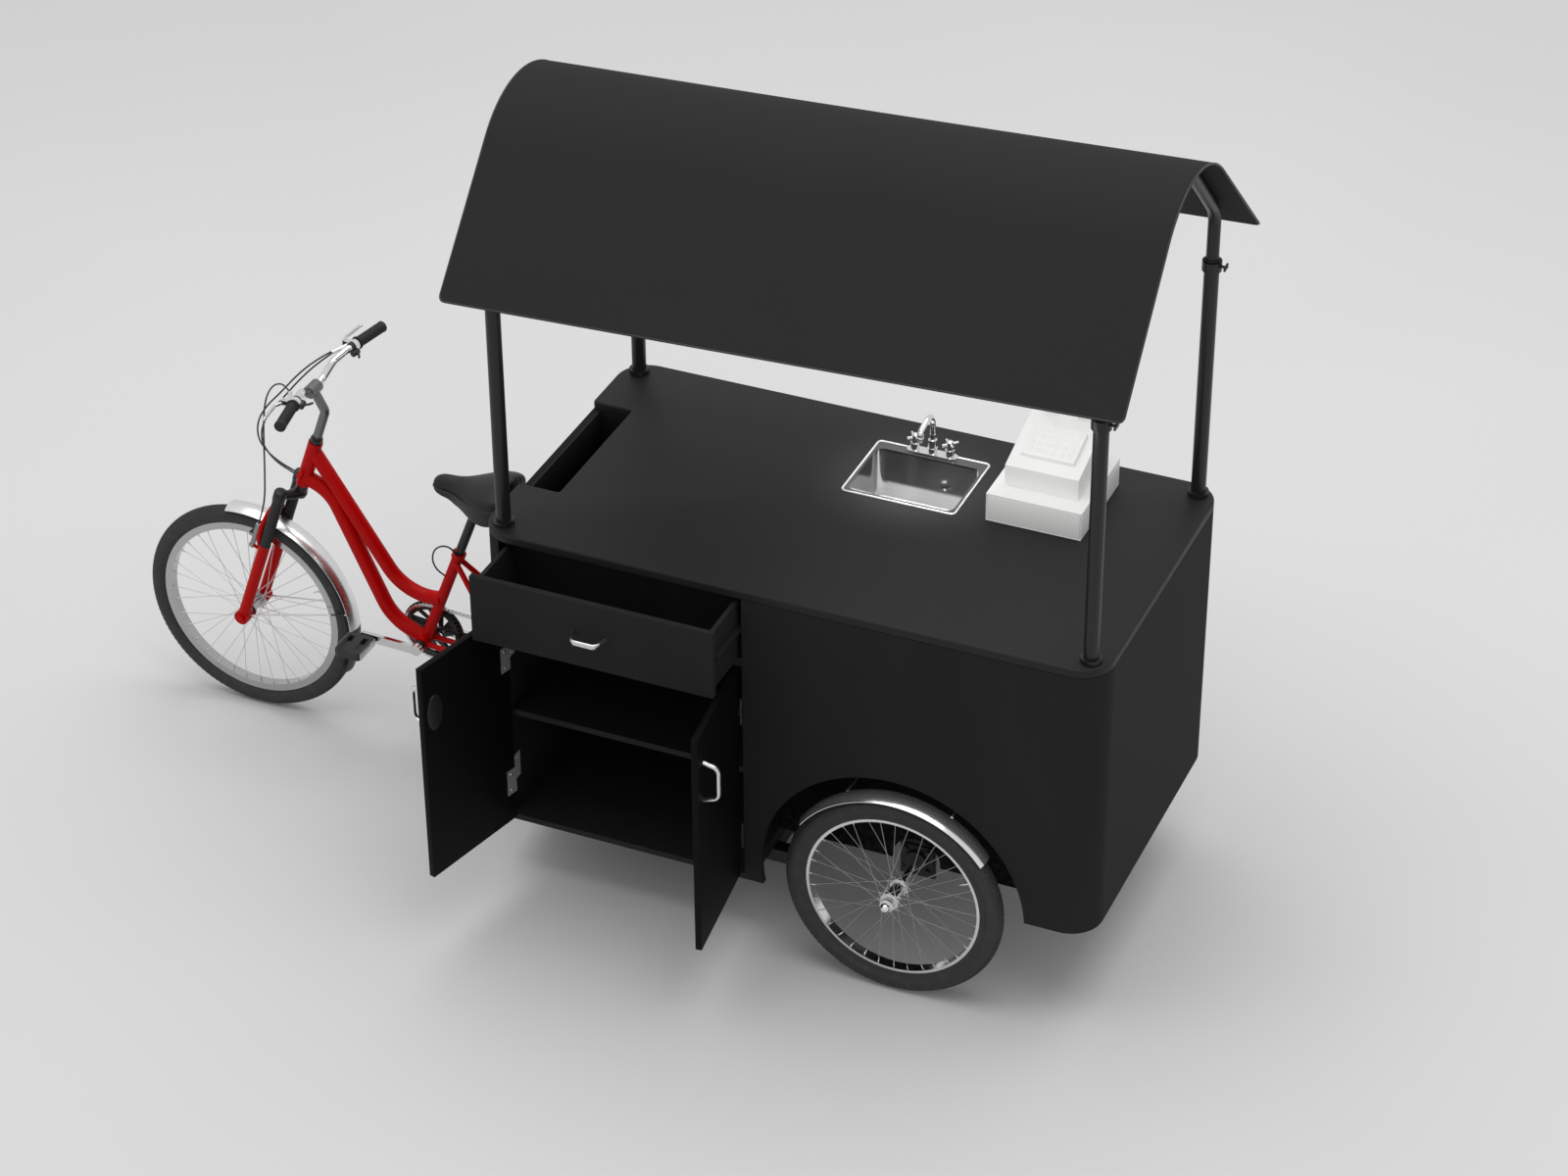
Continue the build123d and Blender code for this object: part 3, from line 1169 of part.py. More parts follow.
def make_cables():
    """Rear brake cables to the frame, and the front brake cable."""
    x, y, z = cable_start()
    leave = ferrule_direction()
    across = Vector(0, 0, 1).cross(leave).cross(leave).normalized()
    upper_route = [(-36, -20, -18), (-86, -46, -63), (-133, -68, -121), (-176, -84, -168), (-201, -98, -216),
                   (-196, -112, -263), (-164, -122, -293), (-126, -130, -310), (-94, -138, -317)]
    lower_route = [(-34, -28, -28), (-80, -56, -77), (-122, -78, -132), (-160, -94, -178), (-182, -108, -223),
                   (-178, -122, -264), (-152, -134, -288), (-122, -142, -306), (-92, -149, -314)]
    rows = ((3.2, upper_route), (-3.2, lower_route))
    for (rise, route), stop in zip(rows, cable_stops()):
        points = [tuple(cable_start() + leave * (5 * clear) - across * rise)]
        points += [(x + dx, y + dy, z + dz) for dx, dy, dz in route]
        points.append(tuple(Vector(*stop) - cable_entry() * clear))
        add("control_cables", cord_tube(points, cable_radius))
    front_route = [(-30, 28, 0), (-64, 48, -10), (-96, 62, -36), (-122, 72, -78), (-138, 78, -130), (-146, 80, -188),
                   (-150, 80, -246), (-152, 78, -304), (-154, 74, -362), (-156, 70, -410)]
    arm_x, arm_y, arm_z = brake_cable_end()
    first = cable_start() + leave * (5 * clear)
    points = [(first.X, -first.Y, first.Z)]
    points += [(x + dx, -y + dy, z + dz) for dx, dy, dz in front_route]
    points.append((arm_x + 60 * sin(radians(head_tilt)), arm_y, arm_z + 60 * cos(radians(head_tilt))))
    points.append((arm_x, arm_y, arm_z))
    add("front_brake_cable", cord_tube(points, cable_radius))


def brake_cable_end():
    """The top of the left brake arm, where the front cable ends."""
    x = fork_rake + brake_lead() + 5.5
    z = -fork_drop() + brake_boss_height() + 84 + clear
    point = steering_frame().from_local_coords(Vector(x, 50, z))
    return point.X, point.Y, point.Z


make_cabinet()
make_wheel_wells()
make_drawer()
make_doors()
make_sink()
make_till()
make_canopy()
make_chassis()
make_drive()
make_rear_wheels()
make_fork()
make_frame()
make_saddle()
make_handlebar()
make_cables()

# The part's origin is on the floor, under the middle of its bounding box
whole = Compound(children=[solid for solids in nodes.values() for solid in solids]).bounding_box()
centre = whole.center()
origin = Pos(-centre.X, -centre.Y, 0)
print("origin is moved to", round(centre.X, 3), round(centre.Y, 3), "and the lowest point is", round(whole.min.Z, 3))

os.makedirs("parts", exist_ok=True)
for name, solids in nodes.items():
    export_step(Compound(children=[origin * solid for solid in solids]), "parts/" + name + ".step")
print(len(nodes), "nodes")
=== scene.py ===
# %% [markdown]
# # A juice cart on a cargo tricycle
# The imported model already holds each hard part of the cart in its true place: the cabinet, the canopy, the
# wheels and the bicycle front end. This lesson dresses that frame. It gives each part the finish that the real
# one has, and adds what solid modelling leaves out: cables, tread, chain links, screws, seams and padding.

# %% Load the frame
import bmesh
import bpy
import math
from mathutils import Matrix, Vector


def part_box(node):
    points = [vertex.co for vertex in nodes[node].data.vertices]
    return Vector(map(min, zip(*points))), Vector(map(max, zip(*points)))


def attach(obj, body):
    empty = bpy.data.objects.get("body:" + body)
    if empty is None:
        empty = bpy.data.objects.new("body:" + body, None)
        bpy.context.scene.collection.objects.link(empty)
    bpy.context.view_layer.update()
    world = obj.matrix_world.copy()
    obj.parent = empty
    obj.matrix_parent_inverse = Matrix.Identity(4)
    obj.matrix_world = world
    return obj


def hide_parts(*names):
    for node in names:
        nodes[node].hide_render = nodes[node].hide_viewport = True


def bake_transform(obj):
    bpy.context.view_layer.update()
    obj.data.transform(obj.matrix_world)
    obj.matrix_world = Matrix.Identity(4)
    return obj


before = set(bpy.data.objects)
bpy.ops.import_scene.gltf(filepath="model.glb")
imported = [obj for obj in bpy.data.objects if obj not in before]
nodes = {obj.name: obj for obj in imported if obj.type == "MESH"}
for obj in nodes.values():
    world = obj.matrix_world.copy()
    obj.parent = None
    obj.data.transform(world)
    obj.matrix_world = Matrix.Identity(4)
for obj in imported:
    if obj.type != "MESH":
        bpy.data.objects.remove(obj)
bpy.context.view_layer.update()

# %% [markdown]
# The cart was measured in millimetres from the cabinet's front face, its middle plane and the floor. The packed
# model stands in metres with its origin under the middle of the whole cart. One small function turns the first
# into the second, so that each size below can be read off the cart with a tape. The fork leans back, so a second
# function measures along it: ahead of the steering axis, across it, and up from the foot of the head tube.

# %% Measuring on the cart
origin_x = 215.026
middle_y = 0.132693
head_foot_x = -810
head_foot_z = 803
head_lean = math.radians(19.5)
front_axle = (-1013.39, 333.5)
rear_axle = (1200, 307.5)
crank_axle = (-446, 366)
fork_half = 58
fork_tube_ahead = 35
left_hinge = (61, 1, -104)
right_hinge = (754, -1, 96.5)
hinge_pin_y = -480
door_handle_z = 747
bar_z = 1184
sides = (("left", -1), ("right", 1))


def spot(x, y, z):
    """A point measured in millimetres on the cart, in the model's metres."""
    return Vector(((x - origin_x) / 1000, y / 1000 + middle_y, z / 1000))


def fork_spot(ahead, across, rise):
    """A point measured in millimetres along the leaning fork, in the model's metres."""
    lean = math.sin(head_lean)
    upright = math.cos(head_lean)
    x = head_foot_x - ahead * upright + rise * lean
    return spot(x, across, head_foot_z + ahead * lean + rise * upright)


def axes(x, y, z):
    """The turn that takes the three axes to three directions."""
    return Matrix((x, y, z)).transposed().to_4x4()


def linked(name, data):
    """A new object in the scene, at the origin."""
    holder = bpy.data.objects.new(name, data)
    bpy.context.scene.collection.objects.link(holder)
    return holder


# %% [markdown]
# ## Camera and studio
# The camera stands where the photograph was taken: high on the cupboard side, a little towards the rear, with a
# long lens. Its place came from fitting the wheels and the cabinet's corners. Blender builds a camera from its
# right, up and back directions, so the small roll is just a turn of the first two.

# %% Camera
turn = math.radians(23.5903)
lift = math.radians(33.8169)
roll = math.radians(-0.4196)
aim_point = spot(670.8, 0, 830.3)
camera_distance = 10.7885
sensor_width = 36
focal_pixels = 4076.98
image_width = 1600
back = Vector((math.sin(turn) * math.cos(lift), -math.cos(turn) * math.cos(lift), math.sin(lift)))
level_right = Vector((math.cos(turn), math.sin(turn), 0))
level_up = back.cross(level_right)
right = level_right * math.cos(roll) + level_up * math.sin(roll)
up = level_up * math.cos(roll) - level_right * math.sin(roll)
camera = linked("camera", bpy.data.cameras.new("camera"))
camera.data.sensor_width = sensor_width
camera.data.lens = sensor_width * focal_pixels / image_width
camera.matrix_world = axes(right, up, back)
camera.location = aim_point + back * camera_distance
bpy.context.scene.camera = camera
bpy.context.scene.view_settings.view_transform = "Standard"
print("camera at", tuple(round(v, 3) for v in camera.location), "lens", round(camera.data.lens, 1))

# %% [markdown]
# Finishes and repeating shapes are both node trees, and a tree reads best as an expression. `Value` wraps one
# socket, and its operators add Math nodes. `Graph` adds any other node from a type, its settings and its inputs.
# `Finish` is a graph that is one material.

# %% Writing node trees


class Value:
    """A socket of a graph, which Python's operators turn into Math nodes."""

    def __init__(self, graph, socket):
        self.graph = graph
        self.socket = socket

    def math(self, operation, first, second=0.0):
        return self.graph.node("ShaderNodeMath", {"operation": operation}, {0: first, 1: second})

    def __add__(self, other):
        return self.math("ADD", self, other)

    def __radd__(self, other):
        return self.math("ADD", other, self)

    def __sub__(self, other):
        return self.math("SUBTRACT", self, other)

    def __rsub__(self, other):
        return self.math("SUBTRACT", other, self)

    def __mul__(self, other):
        return self.math("MULTIPLY", self, other)

    def __rmul__(self, other):
        return self.math("MULTIPLY", other, self)

    def __truediv__(self, other):
        return self.math("DIVIDE", self, other)

    def __mod__(self, other):
        return self.math("MODULO", self, other)

    def size(self):
        return self.math("ABSOLUTE", self)

    def beside(self, output):
        """Another output of the same node."""
        return Value(self.graph, self.socket.node.outputs[output])


class Graph:
    """A node tree. Its node method adds a node and gives back one of its outputs."""

    def __init__(self, tree):
        self.tree = tree

    def node(self, kind, settings, inputs, output=0):
        made = self.tree.nodes.new(kind)
        for key, value in settings.items():
            setattr(made, key, value)
        for key, value in inputs.items():
            self.feed(made.inputs[key], value)
        return Value(self, made.outputs[output])

    def feed(self, socket, value):
        if isinstance(value, Value):
            self.tree.links.new(value.socket, socket)
        else:
            socket.default_value = value


def grey(level):
    """A neutral colour of that linear level."""
    return (level, level, level, 1.0)


class Finish(Graph):
    """One material, with the textures that the finishes below are made of."""

    def __init__(self, name):
        self.material = bpy.data.materials.new(name)
        self.material.use_nodes = True
        super().__init__(self.material.node_tree)
        self.shader = self.tree.nodes["Principled BSDF"]
        self.place = self.node("ShaderNodeTexCoord", {}, {}, "Object")

    def stretched(self, x, y, z):
        return self.node("ShaderNodeMapping", {}, {"Vector": self.place, "Scale": (x, y, z)})

    def noise(self, scale, detail=2.0, vector=None):
        inputs = {"Vector": vector or self.place, "Scale": scale, "Detail": detail}
        return self.node("ShaderNodeTexNoise", {}, inputs, "Fac")

    def cells(self, scale, feature="F1"):
        inputs = {"Vector": self.place, "Scale": scale}
        return self.node("ShaderNodeTexVoronoi", {"feature": feature}, inputs, "Distance")

    def along(self, axis):
        return self.node("ShaderNodeSeparateXYZ", {}, {0: self.place}, axis)

    def band(self, value, low, high):
        """0 below low and 1 above high, with a soft step between."""
        inputs = {"Value": value, "From Min": low, "From Max": high}
        return self.node("ShaderNodeMapRange", {"interpolation_type": "SMOOTHSTEP"}, inputs)

    def beyond(self, axis, start, end):
        """0 before start and 1 past end, both measured in millimetres on the cart along one axis."""
        number = "XYZ".index(axis)
        return self.band(self.along(axis), spot(start, start, start)[number], spot(end, end, end)[number])

    def from_axle(self, axle):
        """Distance from an axle that runs across the cart, given by its x and z."""
        off_x = self.along("X") - spot(axle[0], 0, 0).x
        off_z = self.along("Z") - axle[1] / 1000
        square = off_x * off_x + off_z * off_z
        return square.math("SQRT", square)

    def mix(self, factor, first, second):
        """Two colours by a factor."""
        return self.node("ShaderNodeMix", {"data_type": "RGBA"}, {0: factor, 6: first, 7: second}, 2)

    def shades(self, factor, darker, lighter):
        """Neutral colours by a factor, from a darker level to a lighter one."""
        return self.mix(factor, grey(darker), grey(lighter))

    def bump(self, height, distance, strength=1.0):
        return self.node("ShaderNodeBump", {}, {"Height": height, "Distance": distance, "Strength": strength})

    def shade(self, **sockets):
        """Feeds the shader's sockets, such as base_color or coat_weight."""
        names = {name.lower().replace(" ", "_"): name for name in self.shader.inputs.keys()}
        for key, value in sockets.items():
            self.feed(self.shader.inputs[names[key]], value)
        return self.material


print("finishes can be written")

# %% [markdown]
# The studio is a pale floor under one wide soft lamp, with a pale sky as fill. The photograph has no hard
# shadows and an even floor, so the lamp is ten metres across and hangs high. Three weak lamps hang under the
# canopy and light the counter, which the canopy would leave in shade. Eyes and mirrors see the sky as a plain
# light grey, while the light that it gives is set apart from that, with the Light Path node.

# %% Studio
reach = 40.0
floor_corners = [(-reach, -reach, 0), (reach, -reach, 0), (reach, reach, 0), (-reach, reach, 0)]
floor_mesh = bpy.data.meshes.new("studio_floor")
floor_mesh.from_pydata(floor_corners, [], [(0, 1, 2, 3)])
linked("studio_floor", floor_mesh)
floor_finish = Finish("pale_floor")
floor_colour = floor_finish.shades(floor_finish.noise(0.35, 2.0), 0.66, 0.74)
floor_mesh.materials.append(floor_finish.shade(base_color=floor_colour, roughness=0.75, specular_ior_level=0.2))


def soft_lamp(name, place, aim, width, height, power, spread=180):
    """A rectangular lamp that faces a point."""
    lamp = bpy.data.lights.new(name, "AREA")
    lamp.shape = "RECTANGLE"
    lamp.size = width
    lamp.size_y = height
    lamp.energy = power
    lamp.spread = math.radians(spread)
    holder = linked(name, lamp)
    holder.location = place
    holder.rotation_euler = (Vector(aim) - Vector(place)).to_track_quat("-Z", "Y").to_euler()
    holder.visible_camera = False


soft_lamp("overhead_lamp", (0.6, 0.6, 9.0), (0.6, 0.6, 0.0), 10.0, 10.0, 540)
soft_lamp("canopy_lamp", (0.90, 0.30, 1.84), (0.90, 0.30, 1.0), 1.0, 0.5, 1.5)
soft_lamp("eave_lamp", (0.95, -0.24, 1.84), (1.05, 0.40, 1.22), 1.0, 0.3, 3.4)
soft_lamp("sink_lamp", (0.753, 0.33, 1.80), (0.753, 0.33, 1.0), 0.22, 0.16, 0.8, spread=40)
world = bpy.data.worlds.new("studio_sky")
bpy.context.scene.world = world
world.use_nodes = True
sky_graph = Graph(world.node_tree)
light_path = sky_graph.node("ShaderNodeLightPath", {}, {}, "Is Camera Ray")
mirrored = light_path.math("MAXIMUM", light_path, light_path.beside("Is Glossy Ray"))
strength = sky_graph.node("ShaderNodeMapRange", {}, {"Value": mirrored, "To Min": 0.60, "To Max": 0.70})
sky = world.node_tree.nodes["Background"]
sky_graph.feed(sky.inputs["Strength"], strength)
sky.inputs["Color"].default_value = (1.0, 1.0, 1.0, 1.0)
print("studio with", len(bpy.data.lights), "lamps")

# %% [markdown]
# ## Finishes
# The cabinet is black board with a fine pearl texture and a soft sheen. A hair of dust lies near the floor, where
# the road throws it. Cells at a millimetre make the texture, and a slow noise makes the sheen uneven, as a wiped
# board is.

# %% Black board


def black_board(name, level, roughness, sheen, road_dust):
    finish = Finish(name)
    pearl = finish.cells(1100, "SMOOTH_F1")
    wiped = finish.noise(5.0, 4.0, finish.stretched(1.0, 1.0, 0.35))
    speck = finish.band(finish.noise(420, 3.0), 0.66, 0.74)
    low = 1 - finish.beyond("Z", 180, 550)
    dust = low * finish.band(finish.noise(60, 5.0), 0.35, 0.75) * road_dust
    tone = finish.shades(wiped, level * 0.85, level * 1.2)
    tone = finish.mix(speck * 0.12, tone, grey(0.06))
    tone = finish.mix(dust, tone, (0.10, 0.092, 0.08, 1))
    rough = roughness + 0.10 * (wiped - 0.5) + 0.25 * dust
    normal = finish.bump(pearl, 0.00025, 0.35)
    return finish.shade(base_color=tone, roughness=rough, specular_ior_level=sheen, normal=normal)


panel_black = black_board("panel_black", 0.0215, 0.62, 0.03, 0.06)
# The doors take a copy of the panel board about seven times darker, with less sheen: painted shade on the same
# black board, for inner faces turned from the light.
door_black = black_board("door_black", 0.0030, 0.52, 0.08, 0.04)
counter_black = black_board("counter_black", 0.0155, 0.50, 0.20, 0.0)
inside_black = black_board("inside_black", 0.0150, 0.65, 0.16, 0.05)
well_black = black_board("well_black", 0.0030, 0.72, 0.05, 0.20)
print("board finishes", panel_black.name, counter_black.name, inside_black.name)

# %% [markdown]
# The canopy is coated cloth pulled tight: a plain weave under a thin dull skin. Two crossed noises, stretched
# along and across, give threads that only show in raking light, and slow clouds show where rain dried.

# %% Canopy cloth


def coated_cloth(level):
    finish = Finish("canopy_cloth")
    warp = finish.noise(1.0, 1.0, finish.stretched(40, 1400, 1400))
    weft = finish.noise(1.0, 1.0, finish.stretched(1400, 40, 40))
    cloud = finish.noise(2.2, 4.0)
    tone = finish.shades(cloud, level * 0.88, level * 1.10)
    tone = finish.mix(warp * 0.25, tone, grey(level * 1.5))
    normal = finish.bump(warp + weft, 0.00025, 0.25)
    rough = 0.72 + 0.10 * (cloud - 0.5)
    return finish.shade(base_color=tone, roughness=rough, specular_ior_level=0.04, normal=normal)


canopy_cloth = coated_cloth(0.0245)
print("canopy finish", canopy_cloth.name)

# %% [markdown]
# Posts, chassis and brackets are powder-coated: a thin plastic skin with an orange-peel surface. The bicycle's
# frame has red lacquer with a clear coat on top, so its highlights are sharp while the colour below stays deep.

# %% Coated metal


def powder_coat(name, level, roughness):
    finish = Finish(name)
    peel = finish.noise(650, 2.0)
    rub = finish.band(finish.noise(24, 6.0), 0.62, 0.80)
    tone = finish.shades(rub, level, level * 1.8 + 0.008)
    normal = finish.bump(peel, 0.0004, 0.22)
    return finish.shade(base_color=tone, roughness=roughness + 0.16 * rub, specular_ior_level=0.4, normal=normal)


def red_lacquer():
    finish = Finish("red_lacquer")
    flow = finish.noise(110, 2.0)
    depth = finish.noise(9.0, 3.0)
    tone = finish.mix(depth, (0.44, 0.0012, 0.0012, 1), (0.54, 0.0020, 0.0020, 1))
    chip = finish.band(finish.noise(260, 5.0), 0.735, 0.755)
    tone = finish.mix(chip * 0.8, tone, (0.10, 0.09, 0.085, 1))
    normal = finish.bump(flow, 0.0006, 0.10)
    return finish.shade(
        base_color=tone, roughness=0.40 + 0.3 * chip, specular_ior_level=0.06, coat_weight=0.09 - 0.09 * chip,
        coat_roughness=0.10, normal=normal,
    )


coat_black = powder_coat("coat_black", 0.009, 0.36)
chassis_black = powder_coat("chassis_black", 0.012, 0.50)
frame_red = red_lacquer()
print("coats", coat_black.name, chassis_black.name, frame_red.name)

# %% [markdown]
# Bright parts differ in how they were worked. Chrome is nearly a mirror with faint wiping haze. Satin steel is
# brushed, so its noise is stretched along one direction. All of them read as metal because they mirror the pale
# studio, so their colour stays high and their roughness carries the work. A wheel is one part, but its rim and
# hub are turned bright while its spokes are plain wire, so the distance from the axle tells them apart.

# %% Bright metal


def chrome_plate():
    finish = Finish("chrome_plate")
    haze = finish.noise(14, 5.0)
    pit = finish.band(finish.noise(700, 3.0), 0.70, 0.76)
    tone = finish.mix(haze, grey(0.80), (0.88, 0.88, 0.89, 1))
    rough = 0.05 + 0.07 * haze + 0.25 * pit
    normal = finish.bump(finish.noise(35, 2.0), 0.0008, 0.05)
    return finish.shade(base_color=tone, metallic=1.0, roughness=rough, normal=normal)


def brushed_metal(name, level, roughness):
    finish = Finish(name)
    lines = finish.noise(1.0, 3.0, finish.stretched(6, 900, 900))
    wear = finish.noise(30, 4.0)
    tone = finish.shades(lines, level * 0.82, level * 1.12)
    rough = roughness + 0.14 * (lines - 0.5) + 0.10 * (wear - 0.5)
    normal = finish.bump(lines, 0.0002, 0.18)
    return finish.shade(base_color=tone, metallic=1.0, roughness=rough, normal=normal)


def cast_alloy(name, level, roughness, metal=1.0):
    finish = Finish(name)
    grain = finish.cells(800)
    cloud = finish.noise(40, 4.0)
    tone = finish.shades(cloud, level * 0.85, level * 1.1)
    normal = finish.bump(grain, 0.0003, 0.12)
    return finish.shade(base_color=tone, metallic=metal, roughness=roughness + 0.12 * (cloud - 0.5), normal=normal)


def polished_bowl():
    """Dark deep-drawn steel with draw lines, painted shade on the flange and painted light on the far floor."""
    finish = Finish("sink_steel")
    lines = finish.noise(1.0, 3.0, finish.stretched(8, 8, 260))
    # Painted light: the far part of the bowl's floor is a near-white, rougher, hardly metallic pool. Painted shade:
    # the flange is darker than the rest of the bowl.
    painted_light_floor = finish.beyond("Y", 222, 244) * (1 - finish.beyond("Z", 986, 990))
    flange = finish.beyond("Z", 1128, 1134)
    tone = finish.shades(lines, 0.26, 0.38)
    tone = finish.mix(flange, tone, grey(0.16))
    tone = finish.mix(painted_light_floor, tone, finish.shades(finish.noise(16, 4.0), 0.78, 0.90))
    rough = 0.06 + 0.05 * lines + 0.26 * painted_light_floor
    normal = finish.bump(lines, 0.0002, 0.06)
    return finish.shade(base_color=tone, metallic=0.91 - 0.76 * painted_light_floor, roughness=rough, normal=normal)


def plated_guard():
    """Smooth plated sheet, nearly a mirror, with its stays painted black outside the sheet."""
    finish = Finish("guard_steel")
    stay = finish.band(finish.from_axle(rear_axle), 0.3225, 0.3240)
    haze = finish.noise(9, 3.0)
    tone = finish.mix(stay, finish.shades(haze, 0.84, 0.92), grey(0.006))
    rough = 0.15 + 0.06 * haze + 0.3 * stay
    return finish.shade(base_color=tone, metallic=0.92 - 0.92 * stay, roughness=rough)


def wheel_metal(name, axle, hub, rim, rim_level, wire_level):
    """Bright rim and hub with dull spokes between them."""
    finish = Finish(name)
    distance = finish.from_axle(axle)
    wire = finish.band(distance, hub, hub + 0.003) * (1 - finish.band(distance, rim - 0.003, rim))
    grain = finish.noise(60, 4.0)
    tone = finish.mix(wire, finish.shades(grain, rim_level * 0.94, rim_level * 1.06), grey(wire_level))
    rough = 0.12 + 0.08 * grain + 0.34 * wire
    normal = finish.bump(finish.cells(800), 0.0002, 0.08)
    return finish.shade(base_color=tone, metallic=1 - 0.70 * wire, roughness=rough, normal=normal)


chrome = chrome_plate()
satin_steel = brushed_metal("satin_steel", 0.72, 0.26)
sink_steel = polished_bowl()
guard_steel = plated_guard()
rim_alloy = cast_alloy("rim_alloy", 0.80, 0.20)
# The sink's bead is paler and half diffuse beside the dark bowl steel: a painted highlight along the sink's rim.
bead_steel = cast_alloy("bead_steel", 0.84, 0.22, 0.45)
# The front rim's level, 0.46 against 0.78 at the rear, is painted shade on rims of the same bright alloy.
front_wheel_metal = wheel_metal("front_wheel_metal", front_axle, 0.030, 0.262, 0.46, 0.68)
rear_wheel_metal = wheel_metal("rear_wheel_metal", rear_axle, 0.034, 0.236, 0.78, 0.32)
dark_alloy = cast_alloy("dark_alloy", 0.30, 0.34)
crank_alloy = cast_alloy("crank_alloy", 0.60, 0.26)
print("metals", chrome.name, satin_steel.name, rim_alloy.name, dark_alloy.name)

# %% [markdown]
# Some solid parts are made of two materials each. The bar is bright where the stem's grey clamp ends. The crank
# arms are polished, and the guard ring between them is black. The brake levers are bright beyond their black
# bosses. The front mudguard is bright down to its rubber flap. The left door has zinc-grey hinges and the right
# door black ones, and both handles are bright. A soft step on the position splits each at the right place.

# %% Two materials on one part


def two_metals(name, split, dark, bright, dark_metal=0.0, bright_metal=1.0, polish=0.34):
    """A dark finish and bright metal: split gives 1 where the part is bright."""
    finish = Finish(name)
    shine = split(finish)
    haze = finish.noise(20, 4.0)
    tone = finish.mix(shine, grey(dark), finish.shades(haze, bright * 0.92, bright * 1.08))
    rough = 0.42 + shine * (0.10 * haze - polish)
    normal = finish.bump(finish.noise(300, 2.0), 0.0003, 0.10)
    metal_share = dark_metal + shine * (bright_metal - dark_metal)
    return finish.shade(base_color=tone, metallic=metal_share, roughness=rough, normal=normal)


def off_middle(start, end):
    """A split that is bright beyond a distance from the cart's middle plane."""

    def split(finish):
        distance = (finish.along("Y") - middle_y).size()
        return finish.band(distance, start / 1000, end / 1000)

    return split


def past_the_flap(finish):
    """1 on the bright sheet of the front mudguard, 0 on the flap and on the stays where they pass the tyre."""
    high = finish.beyond("Z", 343, 347)
    ahead = 1 - finish.beyond("X", -760, -756)
    sheet = high.math("MAXIMUM", high, ahead)
    distance = finish.from_axle(front_axle)
    beside_tyre = finish.band(distance, 0.284, 0.287) * (1 - finish.band(distance, 0.329, 0.331))
    return sheet * (1 - beside_tyre)


def out_on_the_door(finish):
    """1 on an open door's handle, 0 on its hinges."""
    return 1 - finish.beyond("Y", -640, -620)


def bicycle_end(finish):
    """1 on the hinge plates nearer the bicycle, 0 on those of the right door."""
    return 1 - finish.beyond("X", 380, 420)


bar_metal = two_metals("bar_metal", off_middle(25.5, 27.5), 0.19, 0.82, 1.0)
crank_metal = two_metals("crank_metal", off_middle(51.5, 53.0), 0.010, 0.66)
lever_metal = two_metals("lever_metal", off_middle(184, 187), 0.014, 0.70, polish=0.24)
guard_metal = two_metals("guard_metal", past_the_flap, 0.012, 0.82, polish=0.20)
right_door_metal = two_metals("right_door_metal", out_on_the_door, 0.008, 0.72, polish=0.20)
left_door_metal = two_metals("left_door_metal", out_on_the_door, 0.44, 0.76, 0.60, polish=0.22)
plate_metal = two_metals("plate_metal", bicycle_end, 0.008, 0.55, bright_metal=0.35, polish=0.10)
print("split finishes", bar_metal.name, crank_metal.name, guard_metal.name)

# %% [markdown]
# Rubber is dull, and a little grey dust sits on a used tread. The till is white moulded plastic with a fine
# spark-eroded texture, yellowed hardly at all. Tanks are milky polythene, and small plastic parts are black. The
# sheath of a cable is black vinyl with a faint sheen, scuffed where it rubs.

# %% Rubber and plastic


def rubber(name, level, roughness, dusty):
    finish = Finish(name)
    dust = finish.band(finish.noise(45, 6.0), 0.45, 0.80) * dusty
    fine = finish.noise(500, 3.0)
    tone = finish.shades(fine, level * 0.8, level * 1.3)
    tone = finish.mix(dust, tone, (0.115, 0.108, 0.098, 1))
    normal = finish.bump(fine, 0.0005, 0.25)
    rough = roughness + 0.15 * dust
    return finish.shade(base_color=tone, roughness=rough, specular_ior_level=0.4, normal=normal)


def moulded_plastic(name, colour, roughness, texture):
    finish = Finish(name)
    spark = finish.cells(1500)
    cloud = finish.noise(12, 3.0)
    darker = tuple(c * 0.95 for c in colour[:3]) + (1.0,)
    tone = finish.mix(cloud, darker, colour)
    normal = finish.bump(spark, 0.0002, texture)
    return finish.shade(base_color=tone, roughness=roughness + 0.08 * (cloud - 0.5), normal=normal)


def soft_cover():
    finish = Finish("saddle_vinyl")
    grain = finish.cells(420, "SMOOTH_F1")
    crease = finish.noise(70, 5.0)
    tone = finish.shades(crease, 0.006, 0.013)
    rough = 0.46 + 0.12 * (crease - 0.5)
    normal = finish.bump(grain + 0.4 * crease, 0.0006, 0.35)
    return finish.shade(base_color=tone, roughness=rough, specular_ior_level=0.38, normal=normal)


def vinyl_sheath():
    finish = Finish("vinyl_sheath")
    scuff = finish.band(finish.noise(180, 4.0), 0.55, 0.75)
    tone = finish.shades(scuff, 0.008, 0.022)
    normal = finish.bump(finish.noise(900, 2.0), 0.0004, 0.3)
    return finish.shade(base_color=tone, roughness=0.34 + 0.25 * scuff, normal=normal)


tyre_rubber = rubber("tyre_rubber", 0.025, 0.62, 0.18)
grip_rubber = rubber("grip_rubber", 0.009, 0.58, 0.04)
boot_rubber = rubber("boot_rubber", 0.008, 0.52, 0.06)
till_white = moulded_plastic("till_white", (0.88, 0.88, 0.87, 1), 0.42, 0.20)
key_white = moulded_plastic("key_white", (0.84, 0.84, 0.83, 1), 0.40, 0.15)
tank_milky = moulded_plastic("tank_milky", (0.66, 0.70, 0.70, 1), 0.42, 0.15)
plastic_black = moulded_plastic("plastic_black", grey(0.011), 0.42, 0.30)
saddle_vinyl = soft_cover()
sheath = vinyl_sheath()
print("rubber and plastic", tyre_rubber.name, till_white.name, tank_milky.name, saddle_vinyl.name)

# %% [markdown]
# Each solid part of the frame now gets its finish. Where its shape is right as it is, only the material slot
# changes. The parts that are made again further down keep theirs as a spare.

